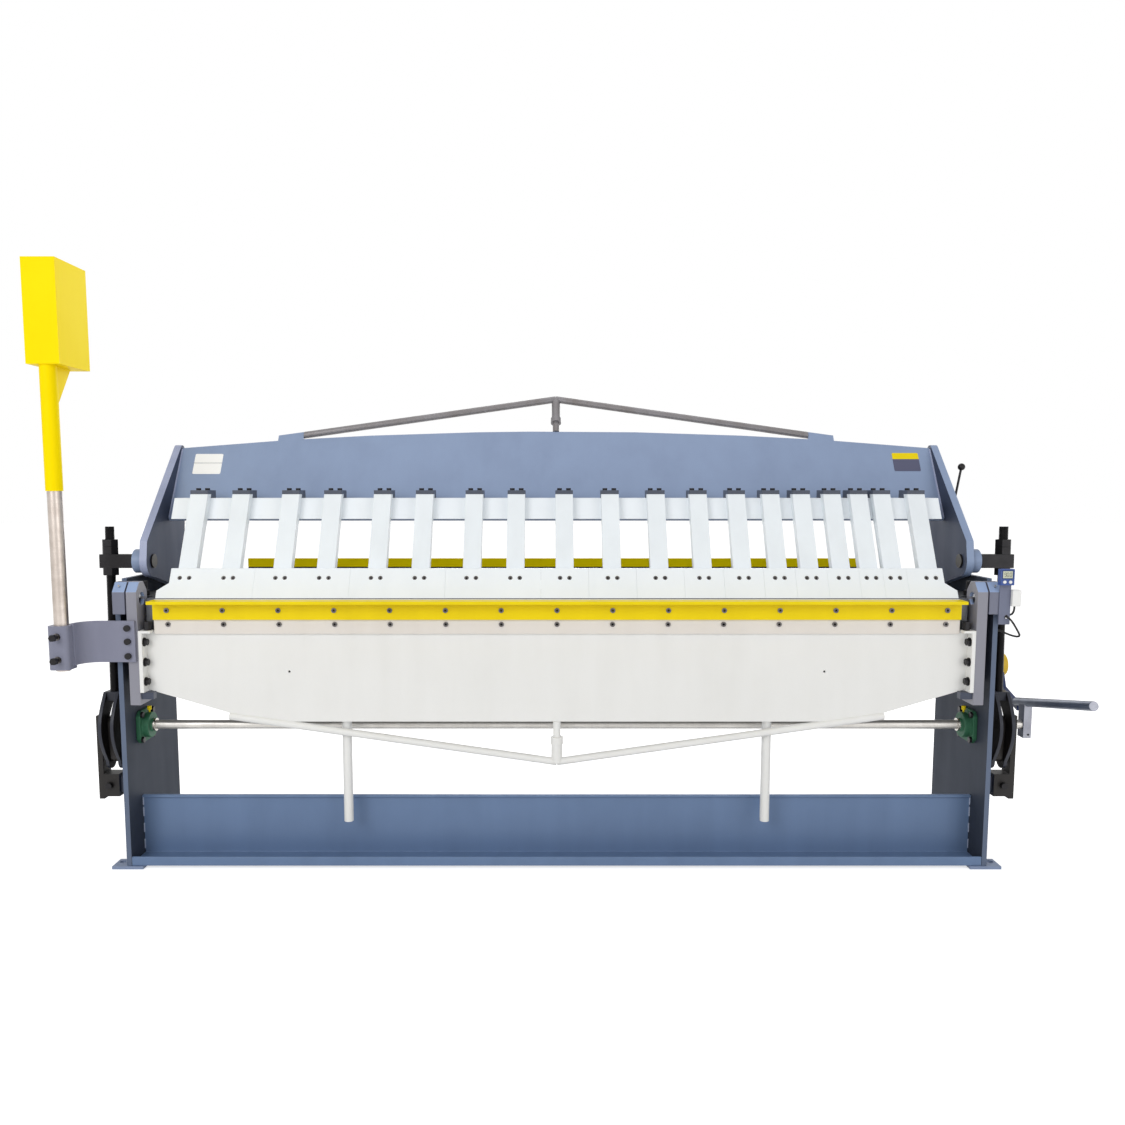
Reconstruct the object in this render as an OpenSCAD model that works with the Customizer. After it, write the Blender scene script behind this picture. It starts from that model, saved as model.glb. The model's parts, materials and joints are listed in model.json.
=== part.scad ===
// Box and pan brake: a floor machine that clamps sheet metal under removable fingers and bends
// it by a counterweighted apron. X runs along the bending edge, Y from the operator to the back
// and Z up. The pieces are drawn from the bending edge, then moved so that the origin lies on
// the floor, midway between the four anchor holes.

/* [Bending edge] */
// Width of a one-unit finger, of which every finger is a whole multiple
unit_w = 25.4; // [24:0.1:27]
// Height of the bed's top face over the floor
bed_h = 880; // [865:1:900]
// Gap between the finger noses and the bed
nose_gap = 0.5; // [0.3:0.1:2]

/* [Side frames] */
// Room from each end of the finger row to a side plate's inner face
side_room = 105; // [100:1:125]
// Thickness of a side plate
side_t = 16; // [12:1:20]
// Depth of a side plate, front to back
side_depth = 415; // [405:1:480]
// How far the side plates stand ahead of the bending edge
side_lead = 15; // [10:1:20]
// How far the side plates rise over the bed
side_rise = 60; // [55:1:64]

/* [Feet and base] */
// Thickness of a foot plate
foot_t = 10; // [8:1:16]
// Width of a foot plate, across the machine
foot_w = 101; // [96:1:120]
// Length of a foot plate, front to back
foot_len = 65; // [60:1:90]
// Diameter of an anchor hole
anchor_d = 20; // [12:1:24]
// Height of the base channel
base_h = 204; // [150:1:230]
// Sheet thickness of the base channel
base_t = 8; // [5:1:12]

/* [Bed] */
// Depth of the bed, front to back
bed_depth = 290; // [250:1:295]
// Height of the bed box
bed_drop = 280; // [200:1:285]
// Thickness of the bed's top plate
bed_top_t = 25; // [15:1:40]
// Thickness of the bed's other walls
bed_wall = 20; // [10:1:30]

/* [Apron] */
// Thickness of the apron plate
apron_t = 8; // [6:1:12]
// Height of the apron plate below the bed's top
apron_drop = 395; // [380:1:410]
// Gap between the apron and the bed's front face
apron_gap = 0.5; // [0.3:0.1:1]
// Height of the blade bar
blade_h = 109; // [100:1:115]
// Thickness of the blade bar
blade_t = 9; // [6:1:12]
// Height of the yellow angle
angle_h = 63; // [50:1:70]
// Reach of the yellow angle's shelf, front to back
angle_reach = 55.5; // [45:0.5:57]
// Diameter of the apron's truss rod
apron_truss_d = 24; // [16:1:26]
// Diameter of a handle bar
handle_d = 30; // [24:1:34]

/* [Apron hinge] */
// Thickness of a hinge arm
hinge_arm_t = 33; // [25:1:34]
// Depth of a hinge arm and of its block, front to back
hinge_depth = 80; // [70:1:82]
// Diameter of a hinge pin
hinge_pin_d = 40; // [30:1:46]

/* [Apron counterweight] */
// Diameter of the weight's pole
pole_d = 42.4; // [38:0.2:44]
// Width of the weight box
weight_w = 100; // [80:1:110]
// Depth of the weight box, front to back
weight_depth = 188; // [150:1:200]
// Height of the weight box
weight_h = 307; // [250:1:320]

/* [Clamping beam] */
// Thickness of a beam arm
beam_arm_t = 25; // [20:1:28]
// Thickness of the leaning beam plate
beam_plate_t = 12; // [8:1:16]
// Diameter of a beam pivot pin
pivot_pin_d = 40; // [30:1:50]
// Diameter of the top truss rod
top_truss_d = 24; // [16:1:26]

/* [Fingers] */
// Lean of the fingers from the vertical, in degrees
finger_lean = 28; // [28:0.5:30]
// Height of a finger shoe
shoe_h = 90.5; // [85:0.5:95]
// Thickness of a finger shoe
shoe_t = 12; // [10:1:14]
// Width of a finger stem
stem_w = 58; // [50:1:62]
// Thickness of a finger stem
stem_t = 30; // [24:1:32]

/* [Clamp drive] */
// Diameter of the cross shaft
shaft_d = 30; // [25:1:31]
// Distance from the cross shaft to the crank pin
crank_r = 100; // [94:1:102]
// Diameter of a threaded clamp rod
rod_d = 30; // [24:1:32]
// Diameter of the hand lever
lever_d = 29; // [20:1:32]
// Diameter of the lever's counterweight disc
lever_weight_d = 76; // [60:1:90]

/* [Back gauge] */
// Length of the gauge bar
gauge_len = 2320; // [2000:1:2400]
// Distance of the gauge bar behind the bending edge
gauge_y = 590; // [560:1:620]

/* [Hidden] */
$fn = 48;
over = 1;          // overrun of a cut past the face that it opens
pin_gap = 0.05;    // radial clearance of a pin, shaft or rod in its bore
skin_gap = 0.3;    // clearance between neighbours that move apart

// Finger widths in units, from left to right, and the share of a 12-unit finger between stems
finger_units = [12, 12, 12, 12, 6, 6, 6, 5, 5, 4, 4, 4, 3, 3, 6];
two_stem_units = 12;
stem_spread_share = 0.4583;

function total(v, n) = n == 0 ? 0 : v[n - 1] + total(v, n - 1);
work_w = total(finger_units, len(finger_units)) * unit_w;
work_half = work_w / 2;
function finger_left(i) = total(finger_units, i) * unit_w - work_half;
function finger_mid(i) = finger_left(i) + finger_units[i] * unit_w / 2;

// Places across the machine, from the middle outward
bed_end_room = 75;
arm_room = 12;
block_room = 4.5;
block_t = 38.5;
beam_arm_room = 25;
side_x = work_half + side_room;
side_out = side_x + side_t;
bed_end = side_x - bed_end_room;
arm_x = [bed_end + arm_room, bed_end + arm_room + hinge_arm_t];
block_x = [arm_x[1] + block_room, arm_x[1] + block_room + block_t];
beam_arm_x = [side_x - beam_arm_room - beam_arm_t, side_x - beam_arm_room];

// Front, back and height of the frame
side_y = [-side_lead, side_depth - side_lead];
side_top = bed_h + side_rise;
foot_lead = 5;
foot_inset = 38;
anchor_out = 28;
anchor_y = 21;
anchor_x = side_out + anchor_out;
anchor_mid_y = (side_y[0] + side_y[1]) / 2;

// Hinge block, hinge arm and the pivot pins
block_rise = 54;
block_fall = 46;
arm_fall = 335;
chamfer_depth = 25;
chamfer_h = 30;
pin_recess = 6;
hinge_y = [-hinge_depth / 2, hinge_depth / 2];

// Cross shaft, trunnion and beam pivot
shaft_y = 112;
shaft_fall = 434;
shaft_z = bed_h - shaft_fall;
pin_z = shaft_z - crank_r;
trunnion_y = 130;
trunnion_rise = 109;
trunnion_z = bed_h + trunnion_rise;
pivot_y = 350;
pivot_rise = 10;
pivot_z = bed_h + pivot_rise;

// Slabs of the clamp drive, outward from the side plate
link_t = 12;
link_gap = 2;
crank_t = 24;
drive_room = 48;
plate_gap = 9;
outer_plate_t = 18;
inner_link_x = [side_out + drive_room, side_out + drive_room + link_t];
crank_x = [inner_link_x[1] + link_gap, inner_link_x[1] + link_gap + crank_t];
outer_link_x = [crank_x[1] + link_gap, crank_x[1] + link_gap + link_t];
outer_plate_x = [outer_link_x[1] + plate_gap, outer_link_x[1] + plate_gap + outer_plate_t];
rod_x = (crank_x[0] + crank_x[1]) / 2;
rod_len = norm([trunnion_y - shaft_y, trunnion_z - pin_z]);
rod_tilt = atan2(trunnion_y - shaft_y, trunnion_z - pin_z);

// Clamp rod, trunnion and links
trunnion_bar = 45;
journal_d = 45;
journal_recess = 5;
trunnion_boss_d = 78;
trunnion_boss_t = 30;
trunnion_side_gap = 0.5;
trunnion_reach = 101;
rod_over_trunnion = 113;
nut_flats = 46;
nut_h = 24;
block_low = 184;
block_high = 213;
link_w = 55;
link_bulge = 77;
link_throat = 22;
link_foot = 20;
link_steps = 12;
pin_head_d = 30;
pin_head_h = 3;
crank_hub_d = 70;
crank_pin_end_d = 50;

// Beam arm
arm_eye_r = 52;
pivot_eye_r = 40;
arm_top_y = 423;
arm_top_rise = 477;
arm_top_r = 22;
arm_front_slope = 45;
beam_front_low = [90, 177];

// Leaning beam plate
beam_plate_y = 268;
beam_plate_rise = 242;
beam_plate_lean = 31.4;
beam_plate_end = 289;
beam_plate_peak = 360;
arch_steps = 28;
ear_x = 900;
ear_w = 90;
ear_tops = [343, 358];
top_truss_end = 347;
top_truss_peak = 504;
strut_tube_d = 30;
strut_collar_d = 37;
strut_collar_h = 20;
strut_stud_d = 23;
strut_stud_h = 39;

// Fingers, finger beam and caps
nose_z = bed_h + nose_gap;
shoe_foot = 32;
shoe_foot_h = 10;
shoe_heel_h = 14;
end_flare = 36;
flare_low = 23;
flare_high = 46;
finger_gap = 0.3;
stem_low = 27.7;
stem_top_rise = 327;
finger_beam_low = 245;
finger_beam_high = 314;
finger_beam_side = 10;
finger_beam_wall = 10;
cap_depth = 45;
cap_h = 13;
cap_bolt_spacing = 30;
cap_bolt_d = 16;
cap_bolt_h = 7;
shoe_bolt_up = 70;
shoe_bolt_d = 14;
shoe_bolt_h = 8;
shoe_bolt_sink = 1.5;

// Apron: outline, bars and screws
apron_top_fall = 2;
shoulder_fall = 102;
apron_wing = 30;
corner_fall = 290;
bottom_half = 949;
peep_x = 850;
peep_fall = 233;
peep_d = 8;
angle_leg_t = 9;
angle_shelf_t = 10;
screw_count = 15;
screw_pitch = 175;
screw_d = 16;
screw_h = 3;
angle_screw_fall = 35;
blade_screw_fall = 80;
end_flange_depth = 41.5;
end_flange_top = 98;
end_flange_bottom = 295;
arm_bolt_falls = [135, 199, 261];
arm_bolt_d = 19;
arm_bolt_h = 10;
arm_bolt_y = -26;
washer_d = 28;
washer_t = 3;
adjuster_flats = 20;
adjuster_h = 28;
adjuster_in = 13;
adjuster_y = -24;
tab_t = 8;
tab_w = 26;
lug_w = 26;
lug_h = 22;

// Apron truss and handles
truss_end_x = 1045;
truss_end_fall = 377;
truss_peak_fall = 527;
apron_mid_y = -apron_gap - apron_t / 2;
truss_stud_d = 24;
truss_collar_d = 40;
truss_tube_d = 35;
truss_stud_end = 445;
truss_collar_end = 468;
handle_x = 677;
handle_top_fall = 320;
handle_end_fall = 732;
handle_block_h = 60;
handle_block_w = 34;
handle_y = apron_mid_y + apron_truss_d / 2 + skin_gap + handle_d / 2;

// Apron counterweight
bracket_t = 10;
bracket_falls = [195, 65];
bracket_in = 6;
bend_out = 34;
bracket_bend_x = side_out + bend_out;
bend_steps = 9;
weight_bolt_in = 22;
weight_bolt_falls = [88, 130, 176];
weight_bolt_d = 20;
weight_bolt_h = 7;
pole_out = 125;
pole_x = side_out + pole_out;
pole_y = -105;
clamp_w = 64;
clamp_round = 16;
clamp_steps = 5;
clamp_falls = [205, 70];
clamp_bolt_falls = [102, 173];
clamp_stud_d = 13;
clamp_stud_h = 18;
clamp_bolt_flats = 19;
clamp_bolt_h = 12;
pole_fall = 211;
pole_top_rise = 740;
sleeve_d = 49;
sleeve_rise = 338;
weight_rise = 711;
weight_front = 30;
gusset_depth = 100;
gusset_h = 134;
gusset_t = 10;

// Hand lever
lever_out = 165;
lever_x = side_out + lever_out;
hub_w = 26;
hub_depth = 38;
hub_rise = 76;
hub_fall = 42;
shaft_stub = 14;
lever_root = [173, 63];
lever_tip = [-277, 151];
lever_weight_at = [312, 165];
lever_weight_t = 32;
lever_arm_t = 12;
lever_arm_y = [157, 262, 274, 290, 334];
lever_arm_z = [36, 62, 72, 96];

// Flange bearing and outboard bracket
bearing_w = 108;
bearing_corner = 16;
bearing_t = 14;
housing_d = 84;
housing_reach = 34;
ring_d = 46;
ring_reach = 40;
bearing_bolt_at = 41.5;
bearing_bolt_d = 19;
bearing_bolt_h = 8;
grease_stem_d = 6;
grease_stem_h = 8;
grease_cap_d = 14;
grease_cap_h = 13;
side_hole_d = 50;
outboard_y = [85, 139];
outboard_fall = [672, 596];
outer_plate_fall = [680, 399];
outboard_in = 59;
outboard_inset = 12;
outboard_bolt_in = 90;
outboard_bolt_d = 22;
outboard_bolt_h = 14;
nipple_d = 6;
nipple_h = 8;
stop_y = 90;
stop_nut_flats = 24;
stop_nut_h = 17;
stop_d = 12;
stop_h = 47;

// Readout on the right side
readout_depth = 20;
readout_rise = [48, 98];
readout_w = 42;
readout_x = [side_out - readout_w / 2, side_out + readout_w / 2];
screen_w = 30;
screen_x = [side_out - screen_w / 2, side_out + screen_w / 2];
screen_rise = [70, 92];
screen_t = 2;
button_d = 10;
button_h = 4;
button_sink = 3;
button_rise = 58;
button_spacing = 18;
button_x = [side_out - button_spacing / 2, side_out + button_spacing / 2];
readout_bracket_t = 4;
readout_bracket_in = 13;
readout_bracket_out = 22;
readout_bracket_x = [side_out - readout_bracket_in, side_out + readout_bracket_out];
readout_bracket_span = [-77, 95];
tab_len = 50;
tab_h = 16;
sensor_w = 27;
sensor_y = [-56, -30];
sensor_rise = [-19, 32];
cable_hole_d = 12;
cable_hole_in = 11;
cable_hole_fall = 53;

// Catch lever and knob on the right beam arm
catch_y = 350;
catch_rise = 300;
catch_reach = 41;
catch_lean = 20;
catch_spindle_d = 16;
catch_rod_d = 8;
catch_ball_d = 25;
catch_len = 133;
catch_hub_d = 22;
catch_hub_t = 14;
knob_y = 250;
knob_rise = 243;
knob_reach = 20;
knob_d = 20;
knob_t = 16;
knob_stem_d = 10;

// Back gauge
rail_x = 800;
rail_w = 40;
rail_h = 40;
rail_end_y = 800;
carriage_depth = 60;
carriage_rise = 52;
gauge_h = 32;
gauge_t = 12;

// Shapes that repeat
module at_anchors() { translate([0, -anchor_mid_y, 0]) children(); }
module both_sides() { children(); mirror([1, 0, 0]) children(); }
module left() { mirror([1, 0, 0]) children(); }
module block(x, y, z) {
    translate([x[0], y[0], z[0]]) cube([x[1] - x[0], y[1] - y[0], z[1] - z[0]]);
}
module bar_x(x, y, z, d, sides = $fn) {
    translate([x[0], y, z]) rotate([0, 90, 0]) cylinder(d = d, h = x[1] - x[0], $fn = sides);
}
module bar_y(x, y, z, d, sides = $fn) {
    translate([x, y[0], z]) rotate([-90, 0, 0]) cylinder(d = d, h = y[1] - y[0], $fn = sides);
}
module bar_z(x, y, z, d, sides = $fn) {
    translate([x, y, z[0]]) cylinder(d = d, h = z[1] - z[0], $fn = sides);
}
module plate_x(x, outline) {
    translate([x[0], 0, 0]) rotate([90, 0, 90]) linear_extrude(x[1] - x[0]) polygon(outline);
}
module plate_y(y, outline) {
    translate([0, y[1], 0]) rotate([90, 0, 0]) linear_extrude(y[1] - y[0]) polygon(outline);
}
module strut(p, q, d) {
    v = q - p;
    translate(p) rotate([0, acos(v[2] / norm(v)), atan2(v[1], v[0])]) cylinder(d = d, h = norm(v));
}
function across(flats) = flats / cos(30);
function mirrored(outline) =
    concat(outline, [for (i = [len(outline) - 1:-1:0]) [-outline[i][0], outline[i][1]]]);

// Frames that lean with the clamp rod, the fingers and the beam plate
module at_rod() { translate([0, shaft_y, pin_z]) rotate([-rod_tilt, 0, 0]) children(); }
module at_fingers() { translate([0, 0, nose_z]) rotate([-finger_lean, 0, 0]) children(); }
module at_beam_plate() {
    translate([0, beam_plate_y, bed_h + beam_plate_rise])
        rotate([90 - beam_plate_lean, 0, 0]) children();
}

// Side plate with a notch for the hinge block and holes for the shaft, pivot and bolts
module side_plate() {
    difference() {
        plate_x([side_x, side_out], [
            [side_y[0], foot_t], [side_y[1], foot_t], [side_y[1], side_top],
            [hinge_y[1], side_top], [hinge_y[1], bed_h - block_fall],
            [side_y[0], bed_h - block_fall]]);
        bar_x([side_x - over, side_out + over], shaft_y, shaft_z, side_hole_d);
        bar_x([side_x - over, side_out + over], pivot_y, pivot_z, pivot_pin_d + 2 * pin_gap);
    }
}
module left_side_plate() { at_anchors() color([0.35, 0.4, 0.47]) left() side_plate(); }
module right_side_plate() { at_anchors() color([0.35, 0.4, 0.47]) side_plate(); }

base_y = 88;
base_lip_h = 30;
base_lip_lap = 8;
module base_channel() {
    low = foot_t;
    high = foot_t + base_h;
    at_anchors() color([0.42, 0.48, 0.56]) plate_x([-side_x, side_x], [
        [-side_lead, low], [base_y + base_t, low], [base_y + base_t, high],
        [base_y - base_lip_lap, high], [base_y - base_lip_lap, high - base_t],
        [base_y, high - base_t], [base_y, low + base_t], [base_t - side_lead, low + base_t],
        [base_t - side_lead, low + base_lip_h], [-side_lead, low + base_lip_h]]);
}

module floor_feet() {
    x0 = side_x - foot_inset;
    at_anchors() color([0.35, 0.4, 0.47]) both_sides() for (back = [0, 1])
        translate([0, back * 2 * anchor_mid_y, 0]) mirror([0, back, 0]) difference() {
            block([x0, x0 + foot_w], [side_y[0] - foot_lead, side_y[0] - foot_lead + foot_len],
                [0, foot_t]);
            bar_z(anchor_x, anchor_y, [-over, foot_t + over], anchor_d);
        }
}

// Hollow bed: narrow at the front, between the hinge arms, and wide behind them
arm_sweep = 70;
module bed_beam() {
    low = bed_h - bed_drop;
    inner = [low + bed_wall, bed_h - bed_top_t];
    at_anchors() color([0.3, 0.33, 0.38]) difference() {
        union() {
            block([-bed_end, bed_end], [0, bed_depth], [low, bed_h]);
            block([-side_x, side_x], [arm_sweep, bed_depth], [low, bed_h]);
        }
        block([bed_wall - bed_end, bed_end - bed_wall], [bed_wall, bed_depth - bed_wall], inner);
        block([-side_x - over, side_x + over], [arm_sweep + bed_wall, bed_depth - bed_wall], inner);
    }
}

// Hinge blocks, hinge pins and beam pivot pins
function hinge_outline(rise, fall) = [
    [hinge_y[0], bed_h - fall], [hinge_y[1], bed_h - fall],
    [hinge_y[1], bed_h + rise - chamfer_h], [hinge_y[1] - chamfer_depth, bed_h + rise],
    [hinge_y[0] + chamfer_depth, bed_h + rise], [hinge_y[0], bed_h + rise - chamfer_h]];
module hinge_blocks() {
    at_anchors() color([0.65, 0.65, 0.68]) both_sides() difference() {
        plate_x(block_x, hinge_outline(block_rise, block_fall));
        bar_x([block_x[0] - over, block_x[1] + over], 0, bed_h, hinge_pin_d + 2 * pin_gap);
    }
}
module pivot_pins() {
    at_anchors() color("silver") both_sides() {
        bar_x([arm_x[0] + pin_recess, block_x[1]], 0, bed_h, hinge_pin_d);
        bar_x([beam_arm_x[0], side_out], pivot_y, pivot_z, pivot_pin_d);
    }
}
module grease_fittings() {
    slope = atan2(chamfer_h, chamfer_depth);
    cap_x = side_x - (bearing_t + housing_reach) / 2;
    low = shaft_z + housing_d / 2;
    at_anchors() color([0.9, 0.8, 0.1]) both_sides() {
        translate([(block_x[0] + block_x[1]) / 2, hinge_y[0] + chamfer_depth / 2,
            bed_h + block_rise - chamfer_h / 2]) rotate([slope, 0, 0])
            cylinder(d = nipple_d, h = nipple_h);
        bar_z(cap_x, shaft_y, [low, low + grease_stem_h], grease_stem_d);
        bar_z(cap_x, shaft_y, [low + grease_stem_h, low + grease_stem_h + grease_cap_h],
            grease_cap_d);
    }
}

// Square flange bearing on the inner face of each side plate
module flange_bearings() {
    half = bearing_w / 2;
    cut = half - bearing_corner;
    at_anchors() color([0.18, 0.4, 0.28]) both_sides() difference() {
        union() {
            plate_x([side_x - bearing_t, side_x], [for (p = [
                [cut, -half], [half, -cut], [half, cut], [cut, half],
                [-cut, half], [-half, cut], [-half, -cut], [-cut, -half]])
                [shaft_y + p[0], shaft_z + p[1]]]);
            bar_x([side_x - housing_reach, side_x - bearing_t], shaft_y, shaft_z, housing_d);
            bar_x([side_x - ring_reach, side_x - housing_reach], shaft_y, shaft_z, ring_d);
        }
        bar_x([side_x - ring_reach - over, side_x + over], shaft_y, shaft_z,
            shaft_d + 2 * pin_gap);
    }
}

// Hexagon bolts of the bearings and outboard brackets, and the screws that stop the beam arms
module frame_bolts() {
    stop_x = (beam_arm_x[0] + beam_arm_x[1]) / 2;
    face_x = side_x - bearing_t;
    block_z = bed_h - (outboard_fall[0] + outboard_fall[1]) / 2;
    at_anchors() color([0.2, 0.2, 0.2]) both_sides() {
        for (dy = [-1, 1], dz = [-1, 1])
            bar_x([face_x - bearing_bolt_h, face_x], shaft_y + dy * bearing_bolt_at,
                shaft_z + dz * bearing_bolt_at, across(bearing_bolt_d), 6);
        bar_y(side_out + outboard_bolt_in, [outboard_y[0] - outboard_bolt_h, outboard_y[0]],
            block_z, outboard_bolt_d);
        bar_z(stop_x, stop_y, [bed_h, bed_h + stop_nut_h], across(stop_nut_flats), 6);
        bar_z(stop_x, stop_y, [bed_h + stop_nut_h, bed_h + stop_h], stop_d);
    }
}

// Bracket that carries the outer end of the cross shaft, with its lug on the side plate
module outboard_brackets() {
    z = [for (fall = outboard_fall) bed_h - fall];
    block_x0 = side_out + outboard_in;
    at_anchors() color([0.27, 0.26, 0.24]) both_sides() difference() {
        union() {
            block([side_out, block_x0],
                [outboard_y[0] + outboard_inset, outboard_y[1] - outboard_inset],
                [z[0] + outboard_inset, z[1] - outboard_inset]);
            block([block_x0, outer_plate_x[0]], outboard_y, z);
            block(outer_plate_x, outboard_y, [for (fall = outer_plate_fall) bed_h - fall]);
        }
        bar_x([outer_plate_x[0] - over, outer_plate_x[1] + over], shaft_y, shaft_z,
            shaft_d + 2 * pin_gap);
    }
}

// Angle readout: bracket, housing, screen, buttons, sensor and cable
bracket_y = [hinge_y[0] - readout_bracket_t, hinge_y[0]];
readout_y = [bracket_y[0] - readout_depth, bracket_y[0]];
module readout_bracket() {
    z = [for (rise = readout_bracket_span) bed_h + rise];
    at_anchors() color([0.45, 0.47, 0.52]) difference() {
        union() {
            block(readout_bracket_x, bracket_y, z);
            block([side_out, side_out + readout_bracket_t], [hinge_y[0], hinge_y[0] + tab_len],
                [z[0], z[0] + tab_h]);
        }
        bar_y(readout_bracket_x[1] - cable_hole_in, [bracket_y[0] - over, bracket_y[1] + over],
            bed_h - cable_hole_fall, cable_hole_d);
    }
}
module readout_housing() {
    z = [for (r = readout_rise) bed_h + r];
    at_anchors() color([0.25, 0.4, 0.65]) difference() {
        block(readout_x, readout_y, z);
        block(screen_x, [readout_y[0] - over, readout_y[0] + screen_t],
            [for (r = screen_rise) bed_h + r]);
        for (x = button_x) bar_y(x, [readout_y[0] - over, readout_y[0] + button_h + button_sink],
            bed_h + button_rise, button_d + 2 * skin_gap);
    }
}
module readout_screen() {
    at_anchors() color([0.6, 0.66, 0.6])
        block(screen_x, [readout_y[0], readout_y[0] + screen_t], [for (r = screen_rise) bed_h + r]);
}
module push_button(x) {
    bar_y(x, [readout_y[0] - button_h / 2, readout_y[0] + button_h], bed_h + button_rise, button_d);
}
module power_button() { at_anchors() color([0.85, 0.9, 0.95]) push_button(button_x[0]); }
module zero_button() { at_anchors() color([0.85, 0.9, 0.95]) push_button(button_x[1]); }
module sensor_box() {
    x = readout_bracket_x[1];
    at_anchors() color("white")
        block([x, x + sensor_w], sensor_y, [for (r = sensor_rise) bed_h + r]);
}

// Cable from the sensor box, back through the bracket's hole, down in a loop and to the side
// plate, by steps from the side plate, the bracket and the bed
cable_d = 6;
cable_sides = 8;
cable_steps = [
    [35, -3, -19], [35, -3, -26], [35, -1.5, -33], [35, 3, -40], [34.5, 9, -45.5], [32, 15.5, -49],
    [27.5, 20.5, -51], [21.5, 22, -52.3], [15.5, 19.5, -53], [12, 14, -53], [11, 7, -53],
    [11, -1, -53], [11.5, -9, -53.3], [14, -16, -56], [19.5, -20.5, -63], [27, -22, -74],
    [35.5, -21, -87], [43.5, -19, -99], [49.5, -15, -108], [51.5, -8, -113.5], [48, -1, -115.5],
    [40, 6, -114.5], [31, 12.5, -111.5], [22, 20, -107.5], [13, 27.5, -103], [6, 31, -101],
    [0, 31, -101]];
cable_route = [for (p = cable_steps) [side_out + p[0], hinge_y[0] + p[1], bed_h + p[2]]];
function unit(v) = v / norm(v);
function heading(p, i) = unit(p[min(i + 1, len(p) - 1)] - p[max(i - 1, 0)]);
function ring(p, i) = let (
    t = heading(p, i), side = unit(cross(t, [0, 1, 0.2])), up = cross(side, t))
    [for (k = [0:cable_sides - 1]) let (a = 360 * k / cable_sides)
        p[i] + cable_d / 2 * (cos(a) * side + sin(a) * up)];
module tube(p) {
    n = cable_sides;
    last = len(p) - 1;
    polyhedron(
        [for (i = [0:last]) each ring(p, i)],
        concat(
            [[for (k = [0:n - 1]) k]],
            [for (i = [0:last - 1], k = [0:n - 1])
                [i * n + k, (i + 1) * n + k, (i + 1) * n + (k + 1) % n, i * n + (k + 1) % n]],
            [[for (k = [n - 1:-1:0]) last * n + k]]));
}
module readout_cable() { at_anchors() color([0.08, 0.08, 0.08]) tube(cable_route); }

// Rails behind the bed and the gauge bar that slides on them
module gauge_rails() {
    at_anchors() color([0.6, 0.6, 0.62]) both_sides()
        block([rail_x - rail_w / 2, rail_x + rail_w / 2], [bed_depth, rail_end_y],
            [bed_h - rail_h, bed_h]);
}
module gauge_carriage() {
    at_anchors() color([0.12, 0.12, 0.13])
        block([-gauge_len / 2, gauge_len / 2], [gauge_y, gauge_y + carriage_depth],
            [bed_h + skin_gap, bed_h + carriage_rise]);
}
module back_gauge_bar() {
    at_anchors() color([0.98, 0.8, 0.05])
        block([-gauge_len / 2, gauge_len / 2], [gauge_y, gauge_y + gauge_t],
            [bed_h + carriage_rise, bed_h + carriage_rise + gauge_h]);
}

// Beam arm with its trunnion eye and rear pivot eye
module beam_arm() {
    top = [arm_top_y, bed_h + arm_top_rise];
    difference() {
        union() {
            plate_x(beam_arm_x, [
                [trunnion_y - arm_eye_r, trunnion_z], [trunnion_y, trunnion_z - arm_eye_r],
                [pivot_y - pivot_eye_r, pivot_z], [pivot_y + pivot_eye_r, pivot_z],
                top + [arm_top_r, 0],
                top + arm_top_r * [-sin(arm_front_slope), cos(arm_front_slope)],
                [beam_front_low[0], bed_h + beam_front_low[1]]]);
            bar_x(beam_arm_x, top[0], top[1], 2 * arm_top_r);
            bar_x(beam_arm_x, trunnion_y, trunnion_z, 2 * arm_eye_r);
            bar_x(beam_arm_x, pivot_y, pivot_z, 2 * pivot_eye_r);
        }
        bar_x([beam_arm_x[0] - over, beam_arm_x[1] + over], trunnion_y, trunnion_z,
            journal_d + 2 * pin_gap);
        bar_x([beam_arm_x[0] - over, beam_arm_x[1] + over], pivot_y, pivot_z,
            pivot_pin_d + 2 * pin_gap);
    }
}
module left_beam_arm() { at_anchors() color([0.5, 0.57, 0.68]) left() beam_arm(); }
module right_beam_arm() { at_anchors() color([0.5, 0.57, 0.68]) beam_arm(); }

// Arched beam plate between the arms, with an ear at each end of the truss rod
module beam_plate() {
    end_x = beam_arm_x[0];
    fall = beam_plate_peak - beam_plate_end;
    arch = [for (i = [0:arch_steps]) let (share = 1 - 2 * i / arch_steps)
        [share * end_x, beam_plate_peak - fall * share * share]];
    at_anchors() color([0.5, 0.57, 0.68]) at_beam_plate() translate([0, 0, -beam_plate_t]) {
        linear_extrude(beam_plate_t) polygon(concat([[-end_x, 0], [end_x, 0]], arch));
        both_sides() linear_extrude(beam_plate_t) polygon([
            [ear_x, beam_plate_end], [ear_x + ear_w, beam_plate_end], [ear_x + ear_w, ear_tops[0]],
            [ear_x, ear_tops[1]]]);
    }
}
module top_truss_shape() {
    n = -beam_plate_t / 2;
    both_sides() intersection() {
        strut([ear_x + 2 * top_truss_d, top_truss_end - top_truss_d / 3, n],
            [0, top_truss_peak, n], top_truss_d);
        block([skin_gap / 2, ear_x], [0, 2 * top_truss_peak], [-top_truss_d, top_truss_d]);
    }
}
module top_truss_rod() {
    at_anchors() color([0.93, 0.95, 0.97]) at_beam_plate() top_truss_shape();
}
module top_truss_strut() {
    n = -beam_plate_t / 2;
    stud_end = beam_plate_peak + strut_stud_h;
    collar_end = stud_end + strut_collar_h;
    at_anchors() color([0.9, 0.92, 0.95]) at_beam_plate() difference() {
        union() {
            bar_y(0, [beam_plate_peak, stud_end], n, strut_stud_d);
            bar_y(0, [stud_end, collar_end], n, strut_collar_d);
            bar_y(0, [collar_end, top_truss_peak - top_truss_d / 4], n, strut_tube_d);
        }
        top_truss_shape();
    }
}

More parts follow.
